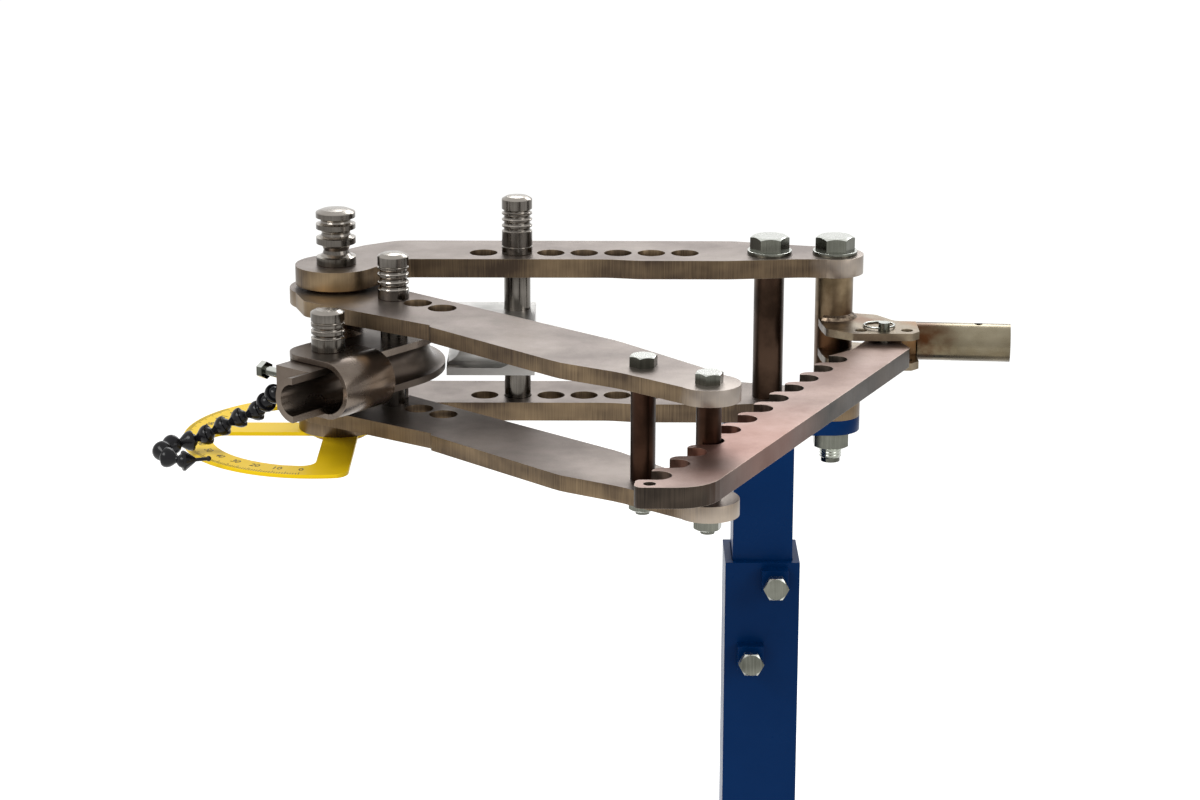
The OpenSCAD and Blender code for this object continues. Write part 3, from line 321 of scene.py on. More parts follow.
@dataclass(frozen=True)
class Metal(Finish):
    """Bare or plated metal with mottling, fine tool marks and, where asked, upright sides of their own
    colour with a painted highlight on their corners, and tints.

    Args:
        tones: Darker and lighter colour of the face.
        cut: Darker and lighter colour of upright faces, which is painted shade where the tops are painted
            lighter, and the colour of the painted highlight on their corners, or None.
        grain: How the surface was made.
        rough: Lowest and highest roughness.
        mottle_mm: Size of the blotches.
        mark_mm: Spacing of the tool marks.
        mark_share: How far the marks colour the surface.
        depth: Strength of the tool marks in the relief.
        glows: Tints, and painted highlights laid the same way.
    """

    tones: tuple[str, str]
    cut: Optional[tuple[str, str, str]] = None
    grain: Grain = Grain.ROLLED
    rough: tuple[float, float] = (0.3, 0.5)
    mottle_mm: float = 40.0
    mark_mm: float = 1.6
    mark_share: float = 0.15
    depth: float = 0.05
    glows: tuple[Glow, ...] = ()

    def stretch(self) -> Point:
        """Gives the scale of the tool marks along each axis.

        Returns:
            Repeats per metre along x, y and z.
        """
        fine, long = 1 / (self.mark_mm * MM), 1 / (BRUSH_LENGTH * self.mark_mm * MM)
        coarse = fine / PLATE_COARSE
        return {Grain.ROLLED: (fine, fine, fine), Grain.BRUSHED_X: (long, fine, fine),
                Grain.PLATED: (coarse, coarse, coarse)}[self.grain]

    @staticmethod
    def noise(tree: Tree, place: Socket, scale: Point, detail: float) -> Socket:
        """Adds stretched noise.

        Args:
            tree: The material's tree.
            place: The coordinates.
            scale: Repeats per metre along each axis.
            detail: Number of finer layers.

        Returns:
            The noise's value.
        """
        laid = add_node(tree, "ShaderNodeMapping", {"Vector": place, "Scale": scale})
        spread = add_node(tree, "ShaderNodeTexNoise", {
            "Vector": laid.outputs["Vector"], "Scale": 1.0, "Detail": detail, "Roughness": 0.55})
        return spread.outputs["Fac"]

    def sides_and_corner_highlights(self, tree: Tree, place: bpy.types.Node, out: Socket,
                  relief: Socket) -> tuple[Socket, Socket]:
        """Lays the upright sides' colour and the painted highlight on their corners over the face.

        Args:
            tree: The material's tree.
            place: The coordinates' node.
            out: The face's colour.
            relief: The face's relief.

        Returns:
            The joined colour and relief.
        """
        facing = add_node(tree, "ShaderNodeSeparateXYZ", {"Vector": place.outputs["Normal"]})
        lift = maths(tree, "ABSOLUTE", facing.outputs["Z"])
        # Upright sides take the cut colour: the real colour of torch-cut plate sides, and painted shade on
        # bolts and turned pins whose tops are painted lighter.
        side = self.ramp(tree, lift, *SIDE_TILT)
        # Torch and saw cuts leave upright streaks about 1 mm apart through the whole thickness.
        streak = self.noise(tree, place.outputs["Object"], STREAKS, 2.0)
        patch = self.noise(tree, place.outputs["Object"], PATCHES, 2.0)
        both = self.blend(tree, STREAK_SHARE, patch, streak, "FLOAT")
        dark, light, corner_highlight = (linear(code) for code in self.cut)
        edge = self.blend(tree, self.ramp(tree, both, *CUT_SPAN), dark, light)
        joined = self.blend(tree, side, out, edge)
        # Painted highlight: faces that lean between top and side, the bevelled corners, take the lighter
        # corner colour.
        rise, fall = (self.ramp(tree, lift, *tilt) for tilt in CORNER_HIGHLIGHT_TILTS)
        worn = maths(tree, "MULTIPLY", maths(tree, "MULTIPLY", rise, fall), CORNER_HIGHLIGHT_SHARE)
        return self.blend(tree, worn, joined, corner_highlight), self.blend(tree, side, relief, streak, "FLOAT")

    def tint(self, tree: Tree, glow: Glow, where: Socket, blotch: Socket, out: Socket) -> Socket:
        """Lays one tint over the colour.

        Args:
            tree: The material's tree.
            glow: The tint.
            where: The coordinates.
            blotch: The noise that bends its edge.
            out: The colour below.

        Returns:
            The tinted colour.
        """
        reach = glow.reach_mm * MM
        away = add_node(tree, "ShaderNodeVectorMath", {0: where, 1: tuple(at_king(*glow.place_mm))},
                        operation="DISTANCE").outputs["Value"]
        wavy = self.blend(tree, TINT_WAVER, away, blotch, "FLOAT")
        edge = TINT_WAVER / 2 + (1 - TINT_WAVER) * reach
        inner, outer = edge - TINT_FADE[0] * reach, edge + TINT_FADE[1] * reach
        share = self.ramp(tree, wavy, inner, outer, glow.strength, 0.0)
        return self.blend(tree, share, out, linear(glow.colour))

    def build(self) -> bpy.types.Material:
        """Builds the material.

        Returns:
            The finished material.
        """
        material, tree, shader = self.start()
        place = add_node(tree, "ShaderNodeTexCoord")
        where = place.outputs["Object"]
        per = 1 / (self.mottle_mm * MM)
        blotch = self.noise(tree, where, (per, per, per), 5.0)
        marks = self.noise(tree, where, self.stretch(), 3.0)
        spread = self.blend(tree, self.mark_share, blotch, marks, "FLOAT")
        dark, light = (linear(tone) for tone in self.tones)
        out = self.blend(tree, self.ramp(tree, spread, *TONE_SPAN), dark, light)
        relief = marks
        if self.cut:
            out, relief = self.sides_and_corner_highlights(tree, place, out, relief)
        for glow in self.glows:
            out = self.tint(tree, glow, where, blotch, out)
        smooth, rough = self.rough
        tree.links.new(out, shader.inputs["Base Color"])
        tree.links.new(self.ramp(tree, spread, *TONE_SPAN, rough, smooth), shader.inputs["Roughness"])
        shader.inputs["Metallic"].default_value = 1.0
        self.relieve(tree, shader, relief, self.depth)
        return material


@dataclass(frozen=True)
class Coating(Finish):
    """Paint or moulded plastic: an even colour with faint waviness and dust.

    Args:
        colour: The main colour.
        worn: A slightly different colour for blotches.
        rough: Lowest and highest roughness.
        ripple_mm: Size of the waviness in the surface.
        depth: Strength of the waviness.
        sheen: Strength of the plain reflection.
    """

    colour: str
    worn: str
    rough: tuple[float, float]
    ripple_mm: float = 2.5
    depth: float = 0.04
    sheen: float = 0.35

    def build(self) -> bpy.types.Material:
        """Builds the material.

        Returns:
            The finished material.
        """
        material, tree, shader = self.start()
        where = add_node(tree, "ShaderNodeTexCoord").outputs["Object"]
        blotch = add_node(tree, "ShaderNodeTexNoise", {
            "Vector": where, "Scale": BLOTCHES, "Detail": 4.0, "Roughness": 0.6}).outputs["Fac"]
        colour = self.blend(tree, blotch, linear(self.colour), linear(self.worn))
        tree.links.new(colour, shader.inputs["Base Color"])
        tree.links.new(self.ramp(tree, blotch, *SHINE_SPAN, *self.rough), shader.inputs["Roughness"])
        shader.inputs["Specular IOR Level"].default_value = self.sheen
        ripple = add_node(tree, "ShaderNodeTexNoise", {
            "Vector": where, "Scale": 1 / (self.ripple_mm * MM), "Detail": 2.0}).outputs["Fac"]
        self.relieve(tree, shader, ripple, self.depth)
        return material


class Workshop:
    """The finishes of the machine, each built once and kept by its slot."""

    # Solids whose look differs from the rest of their slot.
    OWN_LOOKS = {
        "swing_posts": "post_steel", "pivot_tube": "tinted_tube", "lever_welds": "weld",
        "upper_lever_plate": "tinted_plate", "lower_lever_plate": "tinted_plate",
        "lever_block": "tinted_plate"}

    def __init__(self) -> None:
        """Builds every finish."""
        self.kept: dict[str, bpy.types.Material] = {}
        for finish in self.finishes():
            self.kept[finish.slot] = finish.build()
            log.info("finish %s", finish.name)

    @staticmethod
    def finishes() -> Iterable[Finish]:
        """Lists the finishes.

        Returns:
            One description for each finish.
        """
        return (
            # Gloss enamel sprayed on square tube: deep and even, with faint orange peel.
            Coating("enamel_blue_sprayed", "stand_blue", colour="#002b5c", worn="#002450",
                    rough=(0.26, 0.36), sheen=0.06),
            # Zinc-plated bolts: tops painted bright as if lit, a painted highlight on the chamfers,
            # yellowish sides painted darker as shade.
            Metal("zinc_plated_bolts", "zinc", tones=("#b9bbb5", "#d6d8d2"),
                  cut=("#4f5049", "#787970", "#d2d4cd"), grain=Grain.PLATED, rough=(0.16, 0.24),
                  mottle_mm=12.0, mark_share=0.0, depth=0.0),
            # Hot-rolled steel: warm brown-grey faces, torch-cut sides with a painted highlight on their
            # edges, straw gold by the die, ground ends.
            Metal("hot_rolled_steel_ground", "plate_steel", tones=("#625954", "#7d736c"),
                  cut=("#463b32", "#7d6b54", "#b5a996"), rough=(0.34, 0.46), mottle_mm=60.0, mark_mm=1.2,
                  glows=(Glow((0.0, -44.0, -16.0), 22.0, "#a38d6c", 0.6),
                         Glow((434.0, 20.0, -8.0), 26.0, "#c4bab0", 0.5),
                         Glow((304.0, -312.0, -28.0), 24.0, "#c4bab0", 0.45),
                         Glow((304.0, -312.0, -125.0), 24.0, "#c4bab0", 0.45))),
            # Oiled tube and bar: dark chestnut with a dull sheen.
            Metal("oiled_steel_tube", "dark_steel", tones=("#2a1f18", "#44342a"), rough=(0.28, 0.4),
                  mottle_mm=30.0, mark_share=0.05, depth=0.02),
            # Rusted and oiled posts: nearly black chestnut.
            Metal("oiled_steel_post", "post_steel", tones=("#1c120d", "#38261d"), rough=(0.28, 0.4),
                  mottle_mm=30.0, mark_share=0.05, depth=0.02),
            # Plain tube next to a weld: golden grey, browned where the lever is welded on.
            Metal("welded_tube_tinted", "tinted_tube", tones=("#5f513d", "#84735b"), rough=(0.28, 0.4),
                  mottle_mm=24.0, mark_share=0.05, depth=0.02,
                  glows=(Glow((418.0, 36.0, -76.0), 30.0, "#4c2f1c", 0.85),)),
            # Plate next to a weld: tan grey with brown, straw and nearly black heat tints.
            Metal("welded_plate_tinted", "tinted_plate", tones=("#665b4b", "#8d806c"), rough=(0.3, 0.42),
                  mottle_mm=22.0,
                  glows=(Glow((437.0, 30.0, -62.0), 16.0, "#6a4526", 0.75),
                         Glow((482.0, 20.0, -66.0), 16.0, "#8a6238", 0.7),
                         Glow((404.0, 16.0, -66.0), 20.0, "#33211a", 0.9))),
            # Weld metal: dark, lumpy, browned.
            Metal("weld_bead", "weld", tones=("#3c3028", "#8b7b69"), mottle_mm=3.5, mark_mm=1.5,
                  depth=0.5),
            # Oil-soaked bearing bronze.
            Metal("bearing_bronze_turned", "bronze", tones=("#6e4c2c", "#94704a"), rough=(0.3, 0.45)),
            # Free-cutting steel straight from the lathe: ends and groove flanks painted bright as if lit,
            # sides painted darker as shade, corners painted lighter as a highlight.
            Metal("free_cutting_steel_turned", "turned_steel", tones=("#9a948c", "#b9b3aa"),
                  cut=("#47433e", "#75706a", "#928c85"), rough=(0.14, 0.22), mottle_mm=30.0,
                  mark_share=0.0, depth=0.0),
            # Enamelled sheet: warm yellow, satin.
            Coating("enamel_yellow_sheet", "ring_yellow", colour="#efca14", worn="#e6bf0c",
                    rough=(0.34, 0.46), sheen=0.15),
            # Machined die steel: smooth warm grey, straw in places.
            Metal("die_steel_machined", "die_steel", tones=("#594f47", "#7a6f65"), rough=(0.24, 0.34),
                  mottle_mm=60.0, mark_share=0.05, depth=0.02,
                  glows=(Glow((62.0, -122.0, -70.0), 26.0, "#7c5a34", 0.5),)),
            # Moulded acetal: nearly black, with a soft shine.
            Coating("acetal_black_moulded", "black_plastic", colour="#101012", worn="#18171a",
                    rough=(0.16, 0.24), ripple_mm=1.2, depth=0.0, sheen=0.2),
            # Zinc-plated block: cool pale grey, a little cloudy.
            Metal("zinc_plated_block", "follow_zinc", tones=("#9b9a97", "#bcbab7"), grain=Grain.BRUSHED_X,
                  rough=(0.28, 0.42), mottle_mm=30.0, mark_mm=0.8),
            # Chromate-plated tube: pale grey gold, with a painted highlight along the top, brown beside
            # the weld.
            Metal("chromated_tube", "socket_gold", tones=("#4c4436", "#6d634f"), grain=Grain.BRUSHED_X,
                  rough=(0.22, 0.34), mottle_mm=22.0, mark_mm=0.8,
                  # The first tint is a painted highlight along the tube's top; the second is the weld's
                  # brown.
                  glows=(Glow((537.0, 8.0, -22.0), 36.0, "#c0b69c", 0.65),
                         Glow((494.0, 8.0, -62.0), 15.0, "#4a2c18", 0.95))),
            # Flame-cut bar: rosy mill scale on top with a coppery patch, dark ground sides with a painted
            # highlight on their edges.
            Metal("mill_scale_bar", "bar_steel", tones=("#7b6861", "#9d8981"),
                  cut=("#2c2723", "#4b423a", "#cdc0b2"), rough=(0.34, 0.46), mottle_mm=55.0, mark_mm=1.2,
                  glows=(Glow((335.0, -300.0, -62.0), 70.0, "#86503f", 0.4),)),
            # Screen ink on the degree ring.
            Coating("screen_ink", "ring_ink", colour="#1c1a17", worn="#28241f", rough=(0.5, 0.6)),
        )

    def dress(self, nodes: dict[str, bpy.types.Object], record: dict[str, Any]) -> None:
        """Gives each solid its finish.

        Args:
            nodes: The solids by name.
            record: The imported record, which says each solid's slot.
        """
        for part in record["subparts"]:
            solid = nodes[part["node"]]
            solid.data.materials.clear()
            look = self.OWN_LOOKS.get(part["node"], part["material_slot"])
            solid.data.materials.append(self.kept[look])
            for face in solid.data.polygons:
                face.material_index = 0


@dataclass
class EdgeBreak:
    """The small chamfer that machined and cut edges get.

    Args:
        width_mm: Width of the chamfer.
        names: The solids that get it.
    """

    width_mm: float
    names: Sequence[str]

    def cut(self, nodes: dict[str, bpy.types.Object]) -> None:
        """Adds the chamfer to each named solid.

        Args:
            nodes: The solids by name.
        """
        for name in self.names:
            solid = nodes[name]
            weld = solid.modifiers.new("joined", "WELD")
            weld.merge_threshold = WELD_M
            bevel = solid.modifiers.new("edge_break", "BEVEL")
            bevel.width = self.width_mm * MM
            bevel.segments = BREAK_STEPS
            bevel.limit_method = "ANGLE"
            bevel.angle_limit = math.radians(BREAK_DEG)
            log.info("edges of %s broken by %.1f mm", name, self.width_mm)


def finished(name: str, mesh: bpy.types.Mesh, material: bpy.types.Material, body: str) -> bpy.types.Object:
    """Makes an object of a mesh that already lies in its place.

    Args:
        name: The piece's name.
        mesh: Its mesh, in metres in the object's frame.
        material: Its finish.
        body: The body that it rides on.

    Returns:
        The new object.
    """
    piece = placed(name, mesh)
    mesh.materials.clear()
    mesh.materials.append(material)
    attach(piece, body)
    log.info("piece %s rides on %s", name, body)
    return piece


def skin(rings: Sequence[Sequence[Point]], closed: bool) -> bpy.types.Mesh:
    """Joins rings of points with faces.

    Args:
        rings: The rings in mm, each with the same number of points or with one.
        closed: Whether the last ring joins the first.

    Returns:
        A closed mesh in metres with its faces outwards.
    """
    shape = bmesh.new()
    laid = [[shape.verts.new(Vector(point) * MM) for point in ring] for ring in rings]
    sides = max(len(ring) for ring in laid)
    for low, high in zip(laid, laid[1:] + (laid[:1] if closed else [])):
        for i in range(sides):
            j = (i + 1) % sides
            corners = (low[i % len(low)], low[j % len(low)], high[j % len(high)], high[i % len(high)])
            kept = list(dict.fromkeys(corners))
            if len(kept) > 2:
                shape.faces.new(kept)
    bmesh.ops.recalc_face_normals(shape, faces=shape.faces)
    for face in shape.faces:
        face.smooth = True
    mesh = meshed("skin", shape)
    mesh.set_sharp_from_angle(angle=math.radians(SHARP_DEG))
    return mesh


def lathe(profile: Sequence[tuple[float, float]], sides: int) -> bpy.types.Mesh:
    """Turns a profile round Z.

    Args:
        profile: Radius and height of each point in mm, from axis to axis or all round a hollow piece.
        sides: Number of sides round the axis.

    Returns:
        A closed mesh in metres with its faces outwards.
    """
    turns = [2 * math.pi * i / sides for i in range(sides)]
    rings = [[(r * math.cos(a), r * math.sin(a), z) for a in turns] if r else [(0.0, 0.0, z)]
             for r, z in profile]
    return skin(rings, all(r for r, _ in profile))


def grown(tree: Tree, values: dict[str, Any], seed: Optional[bpy.types.Mesh] = None) -> bpy.types.Mesh:
    """Runs a node tree and returns its result as a plain mesh.

    Args:
        tree: The geometry tree.
        values: Each input's value by the socket's identifier.
        seed: A mesh that the tree starts from, where it reads one.

    Returns:
        The tree's result.
    """
    holder = bpy.data.objects.new("grown", seed or bpy.data.meshes.new("grown"))
    modifier = holder.modifiers.new("tree", "NODES")
    modifier.node_group = tree
    for key, value in values.items():
        modifier[key] = value
    bpy.context.scene.collection.objects.link(holder)
    return settled(holder)


def end_tree(tree: Tree, copies: bpy.types.Node, finish: bpy.types.Material) -> None:
    """Ends a node tree: makes the copies real and gives them their material.

    Args:
        tree: The geometry tree.
        copies: The node that places the copies.
        finish: Their material.
    """
    real = add_node(tree, "GeometryNodeRealizeInstances", {"Geometry": copies.outputs["Instances"]})
    coated = add_node(tree, "GeometryNodeSetMaterial", {
        "Geometry": real.outputs["Geometry"], "Material": finish})
    add_node(tree, "NodeGroupOutput", {"Geometry": coated.outputs["Geometry"]})


def strung(link: bpy.types.Mesh, spots_mm: Sequence[Point], ways: Sequence[Point],
           finish: bpy.types.Material) -> bpy.types.Mesh:
    """Sets a copy of a piece at each place with a node tree, its Z along the way there.

    Args:
        link: The piece at the origin.
        spots_mm: Each copy's place from the king pin's top.
        ways: Each copy's direction.
        finish: The copies' material.

    Returns:
        All the copies as one mesh.
    """
    path = bpy.data.meshes.new("places")
    path.from_pydata([at_king(*spot) for spot in spots_mm], [], [])
    heading = path.attributes.new("heading", "FLOAT_VECTOR", "POINT")
    heading.data.foreach_set("vector", [c for way in ways for c in way])
    model = bpy.data.objects.new("model", link)
    tree = bpy.data.node_groups.new("strung", "GeometryNodeTree")
    face = tree.interface
    face.new_socket("Geometry", in_out="INPUT", socket_type="NodeSocketGeometry")
    key = face.new_socket("Piece", in_out="INPUT", socket_type="NodeSocketObject").identifier
    face.new_socket("Geometry", in_out="OUTPUT", socket_type="NodeSocketGeometry")
    given = add_node(tree, "NodeGroupInput")
    shape = add_node(tree, "GeometryNodeObjectInfo", {"Object": given.outputs["Piece"]})
    named = add_node(tree, "GeometryNodeInputNamedAttribute", {"Name": "heading"},
                     data_type="FLOAT_VECTOR")
    turned = add_node(tree, "FunctionNodeAlignRotationToVector", {"Vector": named.outputs["Attribute"]},
                      axis="Z")
    copies = add_node(tree, "GeometryNodeInstanceOnPoints", {
        "Points": given.outputs["Geometry"], "Instance": shape.outputs["Geometry"],
        "Rotation": turned.outputs["Rotation"]})
    end_tree(tree, copies, finish)
    mesh = grown(tree, {key: model}, path)
    bpy.data.objects.remove(model)
    return mesh


@dataclass
class HexFastener:
    """Alike hexagon bolts or nuts with chamfered corners and a cut thread.

    Args:
        node: The solids that they stand for.
        body: The body that they ride on.
        spots_mm: The middle of each one's underside from the king pin's top.
        across_mm: Width across the flats.
        height_mm: Height of the head or nut.
        turn_deg: How far the corners are turned.
        way: The direction from the underside to the top.
        bore_mm: Radius of a nut's bore, or 0 for a bolt.
        shank_mm: Radius and length of a bolt's shank and length of its thread.
        pitch_mm: The thread's pitch.
    """

    node: str
    body: str
    spots_mm: Sequence[Point]
    across_mm: float
    height_mm: float
    turn_deg: float = 0.0
    way: Point = (0.0, 0.0, 1.0)
    bore_mm: float = 0.0
    shank_mm: Point = (0.0, 0.0, 0.0)
    pitch_mm: float = 2.5

    def hexagon(self) -> bpy.types.Mesh:
        """Makes the head or nut, its corners cut by a cone.

        Returns:
            The head or nut with its underside at the origin.
        """
        half, high = self.across_mm / 2, self.height_mm
        flat = half * END_SHARE
        turns = range(0, 360, ROUND_STEP_DEG)
        # A hexagon's outline repeats every 60 degrees, with the middle of a flat at 30.
        reach = [half / math.cos(math.radians(a % 60 - 30)) for a in turns]
        cut = [(r - flat) * math.tan(math.radians(CHAMFER_DEG)) for r in reach]

        def ring(radii: Sequence[float], heights: Sequence[float]) -> list[Point]:
            """Places one ring's points."""
            angles = [math.radians(a + self.turn_deg) for a in turns]
            return [(r * math.cos(a), r * math.sin(a), z) for r, a, z in zip(radii, angles, heights)]

        count = len(reach)
        low, top = [0.0] * count, [high] * count
        upper = [ring(reach, [high - c for c in cut]), ring([flat] * count, top)]
        if not self.bore_mm:
            return skin([[(0.0, 0.0, 0.0)], ring(reach, low), *upper, [(0.0, 0.0, high)]], False)
        bore = [self.bore_mm] * count
        under = [ring(bore, low), ring([flat] * count, low), ring(reach, cut)]
        return skin([*under, *upper, ring(bore, top)], True)

    def shank(self) -> bpy.types.Mesh:
        """Turns the shank with the ridges of its thread.

        Returns:
            The shank, which hangs down from the origin.
        """
        radius, length, thread = self.shank_mm
        pitch, start = self.pitch_mm, thread - length
        profile = [(0.0, SHANK_LAP_MM), (radius, SHANK_LAP_MM), (radius, start)]
        for i in range(int(thread / pitch)):
            profile += [(radius - THREAD_DEPTH * pitch, start - (i + THREAD_ROOT) * pitch),
                        (radius, start - (i + THREAD_CREST) * pitch), (radius, start - (i + 1) * pitch)]
        return lathe(profile[:-2] + [(radius * END_TAPER, -length), (0.0, -length)], SHANK_SIDES)

    def build(self, finish: bpy.types.Material) -> bpy.types.Object:
        """Makes all of them.

        Args:
            finish: Their material.

        Returns:
            One object with all of them.
        """
        one = self.hexagon()
        if self.shank_mm[0]:
            shape = bmesh.new()
            shape.from_mesh(one)
            shape.from_mesh(self.shank())
            one = meshed("bolt", shape)
            one.set_sharp_from_angle(angle=math.radians(SHARP_DEG))
        mesh = strung(one, self.spots_mm, [self.way] * len(self.spots_mm), finish)
        piece = finished(f"cut_{self.node}", mesh, finish, self.body)
        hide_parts(self.node)
        return piece


def fasteners() -> tuple[HexFastener, ...]:
    """Lists the machine's hexagon bolts and nuts, all but the small one in the die's block.

    Returns:
        One entry for each node.
    """
    frame_spots = ((359.7, 41.0), (414.5, 41.0))
    arm_deg, post_radii = -44.7, (352.0, 419.3)
    lean = math.radians(arm_deg)
    arm_spots = [(r * math.cos(lean), r * math.sin(lean)) for r in post_radii]
    lock = {"across_mm": 19.05, "height_mm": 7.87, "way": (0.0, -1.0, 0.0),
            "shank_mm": (6.35, 25.2, 22.0), "pitch_mm": 1.95}
    return (
        HexFastener("frame_bolts", "frame", [(x, y, 3.2) for x, y in frame_spots], across_mm=28.6,
                    height_mm=12.0, shank_mm=(9.525, 184.2, 30.0), pitch_mm=2.54),
        HexFastener("frame_nuts", "frame", [(x, y, -168.0) for x, y in frame_spots], across_mm=28.6,
                    height_mm=15.5, turn_deg=30.0, bore_mm=9.575),
        HexFastener("swing_bolts", "swing_arm", [(x, y, -19.1) for x, y in arm_spots], across_mm=19.0,
                    height_mm=8.4, turn_deg=arm_deg, shank_mm=(6.35, 116.275, 20.0), pitch_mm=1.95),
        HexFastener("swing_nuts", "swing_arm", [(x, y, -132.2) for x, y in arm_spots], across_mm=19.0,
                    height_mm=11.5, turn_deg=arm_deg, bore_mm=6.4),
        HexFastener("lock_bolt_upper", "lock_screw_upper", [(367.2, -9.72, -278.0)], **lock),
        HexFastener("lock_bolt_lower", "lock_screw_lower", [(347.2, -9.72, -346.0)], **lock),
    )


@dataclass
class BallHose:
    """The links of the ball hose between the die and its pointer.

    Args:
        start_mm: The first socket's middle from the king pin's top.
        turns_deg: Heading and dip of each link.
        pitch_mm: Length of a link.
        ball_mm: Radius of the ball.
        play_mm: Gap between a ball and its socket.
        end_mm: Where the ball is cut off beyond its middle.
        socket_mm: Outer radius of the socket.
        bell_mm: How far its outline lies inside that radius, and at what height, from lip to neck.
        bore_mm: Radius of the passage.
    """

    start_mm: Point = (-42.334, -108.536, -81.0)
    turns_deg: tuple[tuple[float, float], ...] = (
        (129, 38), (129, 38), (172, 24), (173, 28), (174, 30), (167, 23), (205, 5), (248, 3),
        (291, 3), (334, 3))
    pitch_mm: float = 15.9
    ball_mm: float = 6.0
    play_mm: float = 0.15
    end_mm: float = 4.5
    socket_mm: float = 8.25
    bell_mm: tuple[tuple[float, float], ...] = (
        (0.75, -1.5), (0.2, -1.3), (0.0, -0.75), (0.0, 0.75), (0.2, 1.9), (0.85, 3.5), (2.0, 5.2),
        (3.3, 6.8), (4.4, 8.2), (5.15, 9.4), (5.35, 10.2))
    bore_mm: float = 1.6

    @staticmethod
    def arc(radius: float, middle: float, first: float, last: float,
            steps: int) -> list[tuple[float, float]]:
        """Gives the profile of a ball or hollow.

        Args:
            radius: Its radius in mm.
            middle: Height of its middle in mm.
            first: First angle above the middle, in radians.
            last: Last angle.
            steps: Number of steps between them.

        Returns:
            Radius and height of each point.
        """
        angles = [first + (last - first) * i / steps for i in range(steps + 1)]
        return [(radius * math.cos(a), middle + radius * math.sin(a)) for a in angles]

    def link(self) -> bpy.types.Mesh:
        """Turns one link: a bell-shaped socket, a waist and a ball.

        Returns:
            The link with its socket's middle at the origin and its ball along Z.
        """
        ball, hollow = self.ball_mm, self.ball_mm + self.play_mm
        neck = self.socket_mm - self.bell_mm[-1][0]
        lip = self.bell_mm[0][1]
        inside = self.arc(hollow, 0.0, math.acos(self.bore_mm / hollow), math.asin(lip / hollow),
                          HOLLOW_STEPS)
        bell = [(self.socket_mm - inset, height) for inset, height in self.bell_mm]
        round_end = self.arc(ball, self.pitch_mm, -math.acos(neck / ball), math.asin(self.end_mm / ball),
                             BALL_STEPS)
        end = (self.bore_mm, self.pitch_mm + self.end_mm)
        return lathe(inside + bell + round_end + [end], LINK_SIDES)

    def build(self, plastic: bpy.types.Material) -> bpy.types.Object:
        """Strings the links along the hose's path with a node tree.

        Args:
            plastic: The links' finish.

        Returns:
            One object with all the links.
        """
        spots, ways = [], []
        spot = Vector(self.start_mm)
        for heading, dip in self.turns_deg:
            h, d = math.radians(heading), math.radians(dip)
            way = Vector((math.cos(d) * math.cos(h), math.cos(d) * math.sin(h), -math.sin(d)))
            spots.append(tuple(spot))
            ways.append(tuple(way))
            spot = spot + way * self.pitch_mm
        mesh = strung(self.link(), spots, ways, plastic)
        hose = finished("hose_bells", mesh, plastic, "pointer")
        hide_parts("hose_segments")
        return hose


